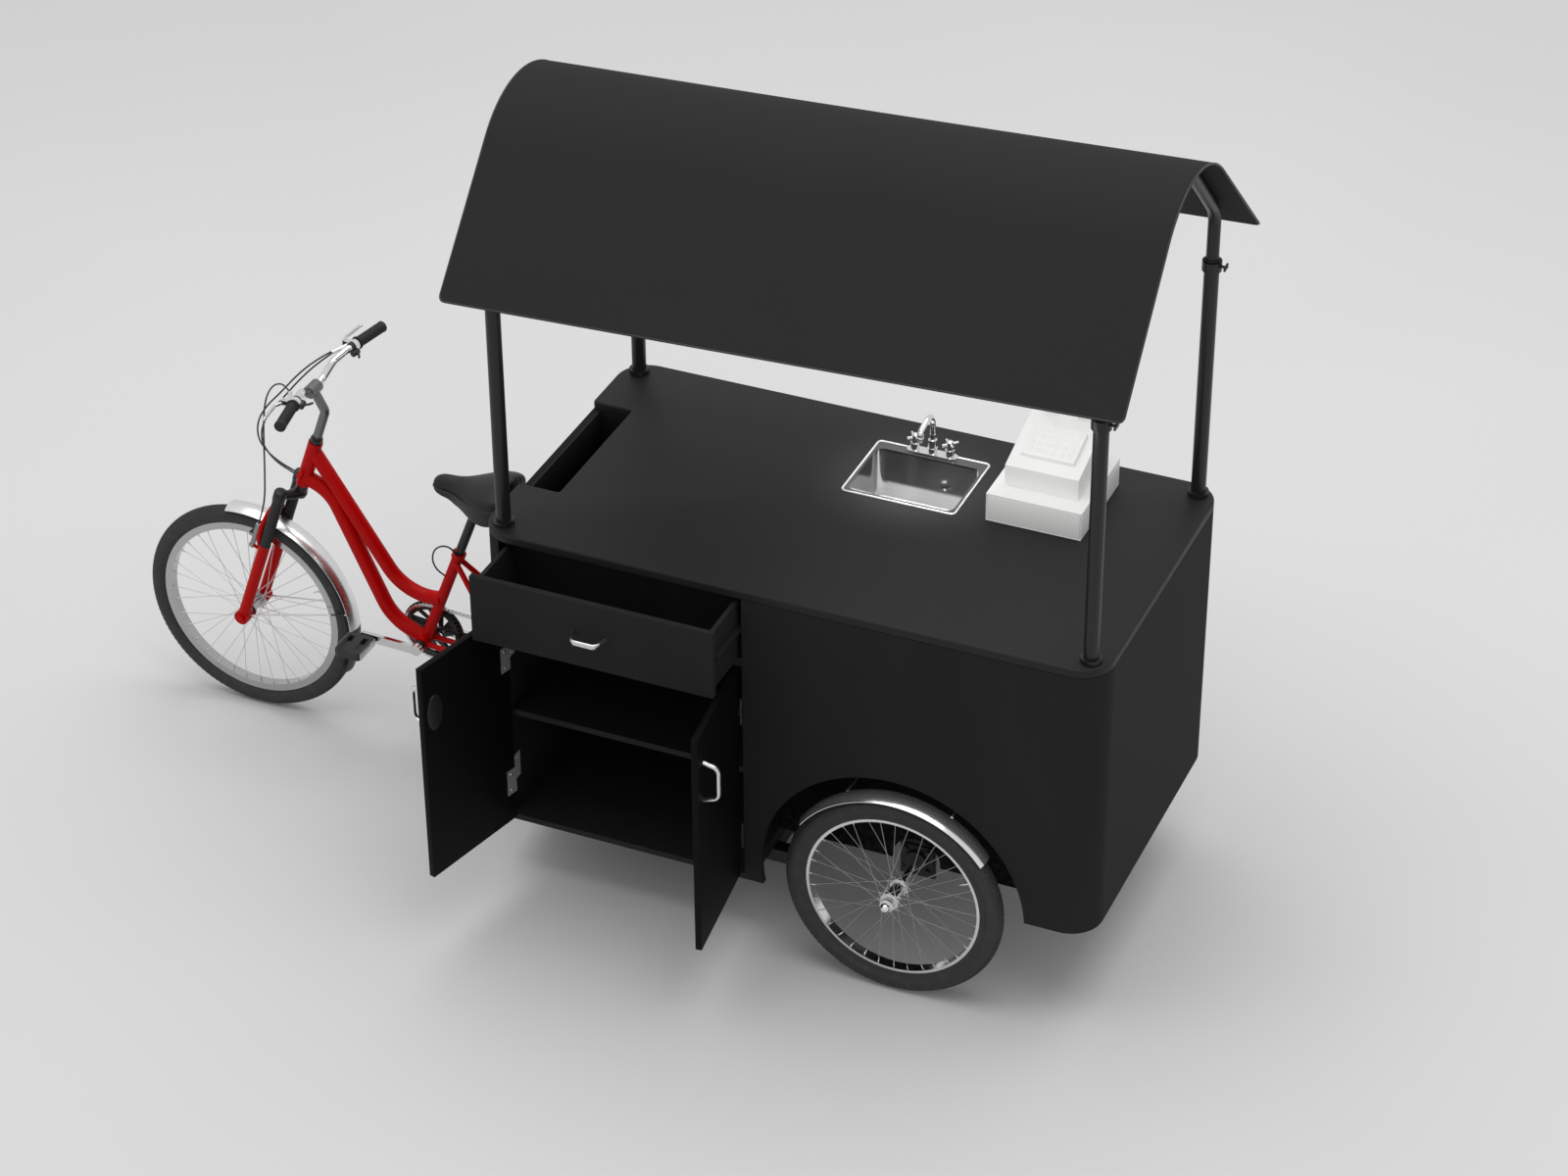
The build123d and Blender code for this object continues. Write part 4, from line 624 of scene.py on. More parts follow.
# %% Finishes on the solid parts
finished_parts = (
    (counter_black, "counter_top"),
    (panel_black, "near_side_panel far_side_panel front_panel rear_panel corner_columns drawer_front"),
    (door_black, "left_door right_door"),
    (inside_black, "floor_boards inner_partitions front_bin drawer_box"),
    (well_black, "wheel_wells"),
    (canopy_cloth, "canopy_sheet"),
    (coat_black, "canopy_posts canopy_hoops canopy_hardware fork_crown seat_post"),
    (crank_metal, "crankset"),
    (chassis_black, "chassis_frame rear_bearings"),
    (dark_alloy, "left_brake_arm right_brake_arm"),
    (frame_red, "bike_frame fork_legs"),
    (satin_steel, "drawer_handle drawer_runners rear_axle chain"),
    (left_door_metal, "left_door_hardware"),
    (right_door_metal, "right_door_hardware"),
    (plate_metal, "hinge_plates"),
    (sink_steel, "sink_basin"),
    (chrome, "faucet_body faucet_spout tap_handle_left tap_handle_right"),
    (guard_steel, "rear_mudguards"),
    (guard_metal, "front_mudguard"),
    (bar_metal, "handlebar"),
    (lever_metal, "left_brake_lever right_brake_lever"),
    (rear_wheel_metal, "near_rear_wheel far_rear_wheel"),
    (front_wheel_metal, "front_wheel"),
    (tyre_rubber, "near_rear_tyre far_rear_tyre front_tyre"),
    (till_white, "till_case till_keyboard cash_drawer"),
    (tank_milky, "water_system"),
    (plastic_black, "left_pedal right_pedal saddle control_cables front_brake_cable"),
    (grip_rubber, "grips"),
)
bare = set(nodes)
for finish, names in finished_parts:
    for name in names.split():
        slots = nodes[name].data.materials
        slots.clear()
        slots.append(finish)
        bare.remove(name)
print("parts still bare:", sorted(bare))

# %% [markdown]
# ## Making shapes
# Most added pieces are turned on a lathe, bent from wire or cut from board, so there is one short maker for each
# way of working. Most makers give a plain mesh in metres with its normals outward. Faces are smooth up to a crease
# angle.

# %% Shape makers


def add_piece(name, mesh, finish, body, replaced=()):
    """Puts a mesh in the scene as a piece with a finish, riding on a body and standing for solid parts."""
    piece = linked(name, mesh)
    mesh.materials.clear()
    mesh.materials.append(finish)
    if body is not None:
        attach(piece, body)
    if replaced:
        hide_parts(*replaced)
    return piece


def settle(shape, name, crease=35):
    """A finished mesh from an edit mesh."""
    bmesh.ops.recalc_face_normals(shape, faces=shape.faces)
    mesh = bpy.data.meshes.new(name)
    shape.to_mesh(mesh)
    shape.free()
    mesh.shade_smooth()
    mesh.set_sharp_from_angle(angle=math.radians(crease))
    return mesh


def circle(count):
    """The cosine and sine of angles spread evenly round a circle."""
    angles = [2 * math.pi * step / count for step in range(count)]
    return [(math.cos(angle), math.sin(angle)) for angle in angles]


def arc(x, y, radius, start, sweep, steps):
    """Points along an arc, from a start angle through a sweep in degrees."""
    angles = [math.radians(start + sweep * step / steps) for step in range(steps + 1)]
    return [(x + radius * math.cos(angle), y + radius * math.sin(angle)) for angle in angles]


def bridge(shape, rows, around=True):
    """Faces between each row of points and the next. Rows that go around close on themselves."""
    for here, there in zip(rows, rows[1:]):
        for k in range(len(here) if around else len(here) - 1):
            after = (k + 1) % len(here)
            shape.faces.new((here[k], here[after], there[after], there[k]))


def skinned(name, rings, crease=35):
    """A skin over rings of places, with both ends capped."""
    shape = bmesh.new()
    rows = [[shape.verts.new(place) for place in ring] for ring in rings]
    bridge(shape, rows)
    shape.faces.new(rows[0])
    shape.faces.new(rows[-1])
    return settle(shape, name, crease)


def turned(name, outline, steps=32, closed=False, crease=35):
    """A shape turned about Z, from an outline of radius and height in millimetres."""
    shape = bmesh.new()
    rows = []
    for radius, height in outline:
        places = [(radius * c / 1000, radius * s / 1000, height / 1000) for c, s in circle(steps)]
        rows.append([shape.verts.new(place) for place in places])
    bridge(shape, rows + rows[:1] if closed else rows)
    bmesh.ops.remove_doubles(shape, verts=shape.verts, dist=1e-6)
    return settle(shape, name, crease)


def at(mesh, place, axis=(0, 0, 1)):
    """Moves a mesh made at the origin to a place, with its Z along an axis."""
    facing = Vector(axis).to_track_quat("Z", "Y").to_matrix().to_4x4()
    mesh.transform(Matrix.Translation(place) @ facing)
    return mesh


def joined(name, meshes, crease=None):
    """Several meshes as one."""
    shape = bmesh.new()
    for mesh in meshes:
        shape.from_mesh(mesh)
        bpy.data.meshes.remove(mesh)
    if crease is not None:
        return settle(shape, name, crease)
    whole = bpy.data.meshes.new(name)
    shape.to_mesh(whole)
    shape.free()
    return whole


def slab(name, length, width, height, edge):
    """A block about the origin in millimetres, with its edges broken."""
    shape = bmesh.new()
    bmesh.ops.create_cube(shape, size=0.001)
    bmesh.ops.scale(shape, vec=(length, width, height), verts=shape.verts)
    bmesh.ops.bevel(shape, geom=shape.edges[:], offset=edge / 1000, segments=2, profile=0.5, affect="EDGES")
    return settle(shape, name)


def copied(node):
    """An edit mesh of a solid part, with its split points merged."""
    shape = bmesh.new()
    shape.from_mesh(nodes[node].data)
    bmesh.ops.remove_doubles(shape, verts=shape.verts, dist=1e-5)
    return shape


def add_rounded(name, node, edge, finish, body):
    """Stands a copy in for a solid part, its sharp edges rounded by a radius in millimetres."""
    shape = copied(node)
    bmesh.ops.dissolve_limit(shape, angle_limit=math.radians(1), verts=shape.verts, edges=shape.edges)
    sharp = [e for e in shape.edges if len(e.link_faces) == 2 and e.calc_face_angle(0) > math.radians(30)]
    bmesh.ops.bevel(
        shape, geom=sharp, offset=edge / 1000, segments=3, profile=0.5, affect="EDGES", clamp_overlap=True,
    )
    add_piece(name, settle(shape, name), finish, body, [node])


def plain_mesh(holder, name):
    """The evaluated shape of an object as a plain mesh. The object itself is removed."""
    bpy.context.view_layer.update()
    shown_shape = holder.evaluated_get(bpy.context.evaluated_depsgraph_get())
    mesh = bpy.data.meshes.new_from_object(shown_shape)
    mesh.name = name
    bpy.data.objects.remove(holder)
    return mesh


def subdivided(holder, name, levels):
    """The shape of an object after subdivision, as a smooth plain mesh. The object itself is removed."""
    finer = holder.modifiers.new("fine", "SUBSURF")
    finer.levels = levels
    mesh = plain_mesh(holder, name)
    mesh.shade_smooth()
    return mesh


def route(points, radius, smooth=True, cyclic=False):
    """A temporary curve object along points: a NURBS spline of order 3, or a straight-sided one."""
    data = bpy.data.curves.new("route", "CURVE")
    data.dimensions = "3D"
    data.resolution_u = 10
    data.bevel_depth = radius
    data.bevel_resolution = 3
    data.use_fill_caps = True
    spline = data.splines.new("NURBS" if smooth else "POLY")
    spline.points.add(len(points) - 1)
    for point, place in zip(spline.points, points):
        point.co = (*place, 1.0)
    spline.use_cyclic_u = cyclic
    if smooth:
        spline.order_u = 3
        spline.use_endpoint_u = not cyclic
    return linked("route", data)


def tube(name, points, radius, smooth=True, cyclic=False):
    """A round cord along control points in metres, as a mesh with smooth faces."""
    mesh = plain_mesh(route(points, radius, smooth, cyclic), name)
    mesh.shade_smooth()
    return mesh


print("shapes can be made")

# %% [markdown]
# ## Rules for what repeats
# Tread blocks, spoke nipples, chain links and screws repeat by rule, so Geometry Nodes places them. A `Rule` is a
# graph with named inputs. Three rules are enough: copies round a wheel, copies along a path, and copies on marked
# spots that each face their own way. Every rule ends in real geometry with a material.

# %% Geometry rules


class Rule(Graph):
    """A Geometry Nodes tree that copies an item by a rule, with named inputs."""

    def __init__(self, name, extra):
        super().__init__(bpy.data.node_groups.new(name, "GeometryNodeTree"))
        self.tree.interface.new_socket("Geometry", in_out="OUTPUT", socket_type="NodeSocketGeometry")
        kinds = {"Geometry": "Geometry", "Item": "Object", "Finish": "Material", **extra}
        self.sockets = {}
        for key, kind in kinds.items():
            made = self.tree.interface.new_socket(key, in_out="INPUT", socket_type="NodeSocket" + kind)
            self.sockets[key] = made.identifier
        self.entry = self.tree.nodes.new("NodeGroupInput")
        self.exit = self.tree.nodes.new("NodeGroupOutput")

    def given(self, name):
        """One of the named inputs."""
        return Value(self, self.entry.outputs[name])

    def copies(self, points, rotation, chosen=True):
        """Copies of the item on points, made real, with the finish."""
        inputs = {"Object": self.given("Item"), "As Instance": True}
        item = self.node("GeometryNodeObjectInfo", {}, inputs, "Geometry")
        inputs = {"Points": points, "Instance": item, "Rotation": rotation, "Selection": chosen}
        placed = self.node("GeometryNodeInstanceOnPoints", {}, inputs)
        real = self.node("GeometryNodeRealizeInstances", {}, {"Geometry": placed})
        done = self.node("GeometryNodeSetMaterial", {}, {"Geometry": real, "Material": self.given("Finish")})
        self.feed(self.exit.inputs["Geometry"], done)

    def build(self, name, base, item_mesh, finish, **sizes):
        """Runs the rule on a temporary base object and gives a plain mesh."""
        item = linked("item", item_mesh)
        change = base.modifiers.new(name, "NODES")
        change.node_group = self.tree
        change[self.sockets["Item"]] = item
        change[self.sockets["Finish"]] = finish
        for key, value in sizes.items():
            change[self.sockets[key]] = value
        mesh = plain_mesh(base, name)
        bpy.data.objects.remove(item)
        return mesh


def marked_base(points=(), facings=()):
    """A temporary object with loose points, and the way each of them faces."""
    mesh = bpy.data.meshes.new("base")
    mesh.from_pydata(points, [], [])
    facing = mesh.attributes.new("facing", "FLOAT_VECTOR", "POINT")
    for entry, way in zip(facing.data, facings):
        entry.vector = way
    return linked("base", mesh)


def wheel_rule():
    rule = Rule("round_a_wheel", {"Count": "Int", "Radius": "Float"})
    count = rule.given("Count")
    ring = rule.node("GeometryNodeMeshCircle", {}, {"Vertices": count, "Radius": rule.given("Radius")})
    angle = rule.node("GeometryNodeInputIndex", {}, {}) * (2 * math.pi) / count
    rule.copies(ring, rule.node("ShaderNodeCombineXYZ", {}, {"Z": angle}))
    return rule


def path_rule():
    rule = Rule("along_a_path", {"Count": "Int", "Every": "Int", "Phase": "Int"})
    inputs = {"Curve": rule.given("Geometry"), "Count": rule.given("Count")}
    points = rule.node("GeometryNodeCurveToPoints", {"mode": "COUNT"}, inputs)
    settings = {"axis": "X", "pivot_axis": "Y"}
    rotation = rule.node("FunctionNodeAlignRotationToVector", settings, {"Vector": points.beside("Tangent")})
    index = rule.node("GeometryNodeInputIndex", {}, {})
    rest = (index + rule.given("Phase")) % rule.given("Every")
    rule.copies(points, rotation, rest.math("LESS_THAN", rest, 0.5))
    return rule


def spot_rule():
    rule = Rule("on_marked_spots", {})
    facing = rule.node("GeometryNodeInputNamedAttribute", {"data_type": "FLOAT_VECTOR"}, {"Name": "facing"})
    rotation = rule.node("FunctionNodeAlignRotationToVector", {"axis": "Z"}, {"Vector": facing})
    rule.copies(rule.given("Geometry"), rotation)
    return rule


round_a_wheel = wheel_rule()
along_a_path = path_rule()
on_marked_spots = spot_rule()


def ring_of(name, item, finish, count, radius):
    """Copies of an item round Z, at a radius in metres."""
    return round_a_wheel.build(name, marked_base(), item, finish, Count=count, Radius=radius)


def on_spots(name, places, ways, item, finish):
    """Copies of an item on places, each facing its own way."""
    return on_marked_spots.build(name, marked_base(places, ways), item, finish)


print("rules:", [tree.name for tree in bpy.data.node_groups])

# %% [markdown]
# ## Cables
# Three cables leave the clamps beside the levers, swing forward in a wide bow and come back: two go into stops on
# the near side of the head tube, one ends on the left brake arm. A NURBS curve with a few control points, measured
# from the clamp, gives the springy bow that a cable has. It is made a mesh. A short loop hangs on the seat tube.

# %% Cables
cable_radius = 0.0025
clamp_x = -754
clamp_y = 118
clamp_z = 1178
upper_bow = [
    (-1, -1, 3), (-36, -20, -18), (-86, -46, -63), (-133, -68, -121), (-176, -84, -168), (-201, -98, -216),
    (-196, -112, -263), (-164, -122, -293), (-126, -130, -310), (-94, -138, -317), (-52, -144, -326),
]
lower_bow = [
    (-1, -1, -3), (-34, -28, -28), (-80, -56, -77), (-122, -78, -132), (-160, -94, -178), (-182, -108, -223),
    (-178, -122, -264), (-152, -134, -288), (-122, -142, -306), (-92, -149, -314), (-52, -154, -326),
]
front_bow = [
    (-1, 1, 0), (-30, 28, 0), (-64, 48, -10), (-96, 62, -36), (-122, 72, -78), (-138, 78, -130), (-146, 80, -188),
    (-150, 80, -246), (-152, 78, -304), (-154, 74, -362), (-156, 70, -410),
]
seat_bow = [
    (-318, -17, 684), (-326, -22, 712), (-352, -26, 724), (-384, -27, 706), (-396, -26, 668), (-388, -22, 636),
    (-374, -14, 616), (-356, -6, 600),
]


def cable(name, points, body=None, replaced=()):
    return add_piece(name, tube(name, points, cable_radius), sheath, body, replaced)


for name, bow in (("frame_cable_upper", upper_bow), ("frame_cable_lower", lower_bow)):
    points = [spot(clamp_x + x, clamp_y + y, clamp_z + z) for x, y, z in bow]
    piece = cable(name, points, replaced=["control_cables"])
    spot(-860, 60, 1090)
    spot(-830, -24, 862)
    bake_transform(piece)
arm_tip = spot(-937.9, -50, 665.1)
points = [spot(clamp_x + x, -clamp_y + y, clamp_z + z) for x, y, z in front_bow]
points += [arm_tip + (fork_spot(0, 0, 60) - fork_spot(0, 0, 0)), arm_tip]
piece = cable("front_cable", points, replaced=["front_brake_cable"])
spot(-900, -40, 960)
spot(-915, -50, 740)
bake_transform(piece)
cable("seat_tube_cable", [spot(*place) for place in seat_bow], "cart")
print("three control cables, and a loop on the seat tube")

# %% [markdown]
# ## Wheels
# A tyre is a turned carcass: a slightly flat crown for the tread, raised rings on the walls and a foot inside
# the rim. The rear tyres also have a skirt over the rim's flank, so only a thin bright edge of the rim shows. The
# front tyre has none, because the brake pads need that flank. The tread blocks stand in five rows across the
# crown, each row shifted by half a block from the next. Spoke nipples sit on the rim's bed, one ring for each
# side, and one valve stands among them.

# %% Tyres and wheel details
tyre_half = 27
crown_section = 25.7
wall_section = 26.3
raised_rings = (15, 16, 21, 26, 27)
tread_count = 118
spokes_a_side = 18


def tyre_outline(radius, skirt):
    """The section of a tyre, in radius and height."""
    centre = radius - tyre_half
    points = []
    for step in range(-34, 35):
        angle = math.radians(4 * step)
        section = crown_section if abs(step) <= 12 else wall_section
        if abs(step) in raised_rings:
            section = tyre_half
        points.append((centre + section * math.cos(angle), section * math.sin(angle)))
    foot = [(radius - 47.4, 12.2), (radius - 53.6, 12.2)]
    if skirt:
        flank = [(52.0, 17.4), (60.4, 16.6), (61.2, 16.0), (61.2, 15.1), (47.6, 15.1)]
        foot = [(radius - depth, half) for depth, half in flank] + foot
    return points + foot + [(depth, -half) for depth, half in reversed(foot)]


def wheel_frame(place):
    """Turns a wheel made about Z so that it stands upright at a place."""
    return Matrix.Translation(place) @ axes((1, 0, 0), (0, 0, 1), (0, -1, 0))


def tread_block(lean):
    """One tread block, its foot in the crown, leaning with its row."""
    mesh = slab("tread_block", 1.8, 12.0, 6.6, 0.5)
    lifted = Matrix.Translation((0, 0, crown_section * math.sin(lean) / 1000))
    mesh.transform(lifted @ Matrix.Rotation(-lean, 4, "Y") @ Matrix.Translation((0.0003, 0, 0)))
    return mesh


def tread_rows(name, radius):
    """All blocks of one tyre."""
    rows = []
    for row in range(-2, 3):
        lean = math.radians(19 * row)
        row_radius = (radius - tyre_half + crown_section * math.cos(lean)) / 1000
        ring = ring_of(name, tread_block(lean), tyre_rubber, tread_count, row_radius)
        if row % 2:
            ring.transform(Matrix.Rotation(math.pi / tread_count, 4, "Z"))
        rows.append(ring)
    return joined(name, rows)


def nipple_rings(name, radius):
    """Nipples for the spokes of both sides, and the valve."""
    bed = (radius - 69.5) / 1000
    inwards = Matrix.Rotation(-math.pi / 2, 4, "Y")
    parts = []
    for shift, offset in ((0.003, 0), (-0.003, 1)):
        nipple = turned("nipple", [(0, 10), (1.5, 10), (1.9, 3), (2.6, 0), (2.6, -1), (0, -1)], 8)
        nipple.transform(Matrix.Translation((0, 0, shift)) @ inwards)
        ring = ring_of(name, nipple, rim_alloy, spokes_a_side, bed)
        ring.transform(Matrix.Rotation(offset * math.pi / spokes_a_side, 4, "Z"))
        parts.append(ring)
    valve = turned("valve", [(0, -2), (3.4, -2), (3.4, 22), (2.6, 23), (2.6, 34), (2.0, 36), (0, 36)], 12)
    among = Matrix.Rotation(math.radians(25), 4, "Z")
    valve.transform(among @ Matrix.Translation((bed, 0, 0)) @ inwards)
    parts.append(valve)
    return joined(name, parts)


wheels = (
    ("front", front_axle, 0, "front_wheel", "front_tyre"),
    ("near_rear", rear_axle, -501, "near_wheel", "near_rear_tyre"),
    ("far_rear", rear_axle, 501, "rear_drive", "far_rear_tyre"),
)
for name, (x, radius), y, body, node in wheels:
    carcass = turned(name + "_carcass", tyre_outline(radius, name != "front"), 120, closed=True, crease=60)
    tread = tread_rows(name + "_tread", radius)
    nipples = nipple_rings(name + "_nipples", radius)
    for mesh in (carcass, tread, nipples):
        mesh.transform(wheel_frame(spot(x, y, radius)))
    add_piece(name + "_carcass", carcass, tyre_rubber, body, [node])
    add_piece(name + "_tread", tread, tyre_rubber, body)
    add_piece(name + "_nipples", nipples, rim_alloy, body)
    print(name, "wheel:", len(carcass.polygons), "carcass faces and", len(tread.polygons), "tread faces")

# %% [markdown]
# Each end of the rear axle carries a domed nut on a washer, the bright button in the middle of the wheel. It is
# turned from an outline, with a hexagon foot that a spanner fits.

# %% Axle nuts
for name, side in (("near_axle_nut", -1), ("far_axle_nut", 1)):
    dome = turned("dome", [(0, 22), (6, 21), (11, 17), (13.5, 11), (14, 6), (14, 4)], 28)
    hexagon = turned("hexagon", [(0, 8), (15, 8), (16.5, 6.5), (16.5, 1.5), (0, 1.5)], 6)
    washer = turned("washer", [(0, 1.8), (18.6, 1.8), (19.4, 1.0), (19.4, -0.2), (0, -0.2)], 32)
    nut = joined(name, [dome, hexagon, washer])
    at(nut, spot(rear_axle[0], side * 556.5, rear_axle[1]), (0, side, 0))
    add_piece(name, nut, chrome, "rear_drive")
print("two axle nuts")

# %% [markdown]
# ## Chain
# The chain runs round the chainring and the rear sprocket on two common tangents. Its path is two arcs and two
# straight runs. Inner links with rollers and outer links with pins take turns along it at half an inch.

# %% Chain links
half_inch = 12.7
chain_y = 40
big = half_inch / (2 * math.sin(math.pi / 44))
small = half_inch / (2 * math.sin(math.pi / 22))
run_x = rear_axle[0] - crank_axle[0]
run_z = rear_axle[1] - crank_axle[1]
tilt = math.degrees(math.atan2(run_z, run_x))
wrap = math.degrees(math.acos((big - small) / math.hypot(run_x, run_z)))
path = arc(*crank_axle, big, tilt + wrap, 360 - 2 * wrap, 60)
path += arc(*rear_axle, small, tilt - wrap, 2 * wrap, 40)
chain_length = sum(math.dist(a, b) for a, b in zip(path, path[1:] + path[:1]))
link_count = 2 * round(chain_length / (2 * half_inch))


def link_plate(y, thickness):
    """One side plate of a link: two round ends and a waist."""
    outline = arc(half_inch / 2, 0, 4.1, -90, 180, 6) + [(0, 3.0)]
    outline += arc(-half_inch / 2, 0, 4.1, 90, 180, 6) + [(0, -3.0)]
    faces = (y - thickness / 2, y + thickness / 2)
    return skinned("link_plate", [[(x / 1000, face / 1000, z / 1000) for x, z in outline] for face in faces])


def link(y, pin_radius, pin_half):
    """Two plates with a pin or roller at each end."""
    parts = [link_plate(-y, 0.9), link_plate(y, 0.9)]
    outline = [(0, -pin_half), (pin_radius, -pin_half), (pin_radius, pin_half), (0, pin_half)]
    for x in (-half_inch / 2, half_inch / 2):
        parts.append(at(turned("pin", outline, 8), (x / 1000, 0, 0), (0, 1, 0)))
    return joined("link", parts)


chain_path = [spot(x, chain_y, z) for x, z in path]
halves = []
for phase, item in enumerate((link(2.75, 3.9, 2.4), link(3.75, 2.2, 4.9))):
    base = route(chain_path, 0.0, smooth=False, cyclic=True)
    counts = {"Count": link_count, "Every": 2, "Phase": phase}
    halves.append(along_a_path.build("chain_links", base, item, satin_steel, **counts))
chain = add_piece("chain_links", joined("chain_links", halves), satin_steel, "cart", ["chain"])
print("chain of", link_count, "links,", len(chain.data.polygons), "faces")

# %% [markdown]
# The guard on the chainring is a black disc with a ring of slanted slots. The solid part has its rim, so only the
# vanes between the slots are added, one shape set round the crank.

# %% Chain guard vanes
vane = slab("vane", 58, 15, 2.0, 0.6)
vane.transform(Matrix.Rotation(math.radians(24), 4, "Z"))
vanes = ring_of("chain_guard_vanes", vane, plastic_black, 12, 0.052)
vanes.transform(wheel_frame(spot(crank_axle[0], 48.5, crank_axle[1])))
add_piece("chain_guard_vanes", vanes, plastic_black, "crank")
print("guard with", len(vanes.polygons), "vane faces")

# %% [markdown]
# ## Fork crown and boots
# The crown is a forging: a barrel round each inner tube and a waisted bar between them that bends back to the
# steering column. Each section of the bar is an ellipse, so it is skinned from a row of ellipses. The races and
# the column are turned.

# %% Fork crown
fork_axis = fork_spot(0, 0, 1) - fork_spot(0, 0, 0)
barrel = [
    (0, -14), (11, -14.5), (17, -17), (19.4, -22), (19.4, -47), (18.6, -52), (14.5, -53), (14.5, -310), (0, -310),
]
column = [
    (0, 182), (14.3, 182), (14.3, 172), (18, 171), (18, 159), (14.3, 158.2), (14.3, -0.8), (18, -1.2), (18, -45),
    (0, -45),
]
rings = []
for step in range(-12, 13):
    near_end = abs(step) / 12
    middle = fork_tube_ahead * near_end ** 1.5
    deep = 21 - 5 * near_end
    tall = 15 - 3 * near_end
    across = fork_half * step / 12
    rings.append([fork_spot(middle + deep * c, across, -33 + tall * s) for c, s in circle(20)])
crown_parts = [skinned("crown_bar", rings, 60)]
for across in (-fork_half, fork_half):
    crown_parts.append(at(turned("barrel", barrel), fork_spot(fork_tube_ahead, across, 0), fork_axis))
crown_parts.append(at(turned("column", column), fork_spot(0, 0, 0), fork_axis))
mesh = joined("fork_crown_forging", crown_parts)
add_piece("fork_crown_forging", mesh, coat_black, "steering", ["fork_crown"])
print("crown with", len(mesh.polygons), "faces")

# %% [markdown]
# The two sliding legs are joined by a red arch that passes over the tyre, ahead of the boots. It is a flat-sided
# casting, so its section is a wide ellipse that follows the arch.

# %% Fork arch
arch_half = [(48, 58, -240), (57, 60, -212), (60, 58, -178), (60, 47, -146), (60, 26, -126), (60, 0, -120)]
arch_path = [fork_spot(*place) for place in arch_half]
arch_path += [fork_spot(ahead, -across, rise) for ahead, across, rise in reversed(arch_half[:-1])]
forward = (fork_spot(1, 0, 0) - fork_spot(0, 0, 0)) * 1000
rings = []
for k, place in enumerate(arch_path):
    before = arch_path[max(0, k - 1)]
    after = arch_path[min(len(arch_path) - 1, k + 1)]
    outward = (after - before).cross(forward).normalized()
    rings.append([place + forward * (0.0078 * c) + outward * (0.0125 * s) for c, s in circle(16)])
mesh = subdivided(linked("fork_arch", skinned("fork_arch", rings, 60)), "fork_arch", 2)
add_piece("fork_arch", mesh, frame_red, "fork_slider")
print("arch with", len(mesh.polygons), "faces")

# %% [markdown]
# A ribbed rubber boot covers each inner fork tube between the crown and the sliding leg. It is a bellows.

# %% Fork boots
boot_foot = -225.0
boot_top = -46.0
boot_length = boot_top - boot_foot
ribs = 17
boot_outline = [(16.9 if step % 2 else 15.6, boot_length * step / (2 * ribs)) for step in range(1, 2 * ribs)]
boot_outline = [(17.4, 0)] + boot_outline + [(17.4, boot_length), (14.6, boot_length), (14.6, 0)]
for name, side in sides:
    foot = fork_spot(fork_tube_ahead, side * fork_half, boot_foot)
    top = fork_spot(fork_tube_ahead, side * fork_half, boot_top)
    boot = at(turned(name + "_fork_boot", boot_outline, 28, closed=True, crease=25), foot, fork_axis)
    piece = add_piece(name + "_fork_boot", boot, boot_rubber, None)
    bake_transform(piece)
print("boots", boot_length, "mm long")

# %% [markdown]
# ## Saddle
# The saddle is foam under a stretched vinyl cover. The cover is inflated as cloth from a slightly smaller copy of
# the pad, held at its base, so it swells between its edges as upholstery does. The cover hangs below the foam at
# both sides as a skirt, deepest under the seat bones. Piping runs round the edge where the top meets the skirt.

# %% Saddle
nose_x = -385
saddle_length = 250
widening = 30
piping_z = 890
half_widths = ((0.0, 16, 20), (0.12, 25, 18), (0.42, 36, 17), (0.66, 76, 20), (0.86, 100, 26), (1.0, 84, 28))


def inflated(name, mesh, pressure, reach, held):
    """Swells a closed mesh with cloth under pressure. Held points stay, and none moves further than reach."""
    piece = linked(name, mesh)
    group = piece.vertex_groups.new(name="held")
    group.add([v.index for v in mesh.vertices if held(v.co)], 1.0, "REPLACE")
    cloth = piece.modifiers.new("cover", "CLOTH")
    cloth.settings.quality = 4
    cloth.settings.use_pressure = True
    cloth.settings.uniform_pressure_force = pressure
    cloth.settings.effector_weights.gravity = 0
    cloth.settings.vertex_group_mass = "held"
    for number in range(1, 21):
        bpy.context.scene.frame_set(number)
    shown_shape = piece.evaluated_get(bpy.context.evaluated_depsgraph_get()).to_mesh()
    moves = [after.co - before.co for after, before in zip(shown_shape.vertices, mesh.vertices)]
    piece.modifiers.remove(cloth)
    piece.vertex_groups.clear()
    bpy.context.scene.frame_set(1)
    for vertex, move in zip(mesh.vertices, moves):
        vertex.co += move * min(1.0, reach / max(move.length, 1e-9))
    return piece


def remeshed(name, node, voxel, shrink):
    """A copy of a solid part as an even mesh, drawn in a little about its middle."""
    holder = linked(name, nodes[node].data.copy())
    even = holder.modifiers.new("even", "REMESH")
    even.mode = "VOXEL"
    even.voxel_size = voxel
    mesh = plain_mesh(holder, name)
    low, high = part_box(node)
    middle = (low + high) / 2
    for vertex in mesh.vertices:
        vertex.co = middle + (vertex.co - middle) * shrink
    return mesh


def pad_half_width(along):
    """Half the saddle's width, in millimetres, at a share of its length from the nose."""
    for (start, half, _), (end, next_half, _) in zip(half_widths, half_widths[1:]):
        if along <= end:
            return half + (next_half - half) * (along - start) / (end - start)
    return half_widths[-1][1]


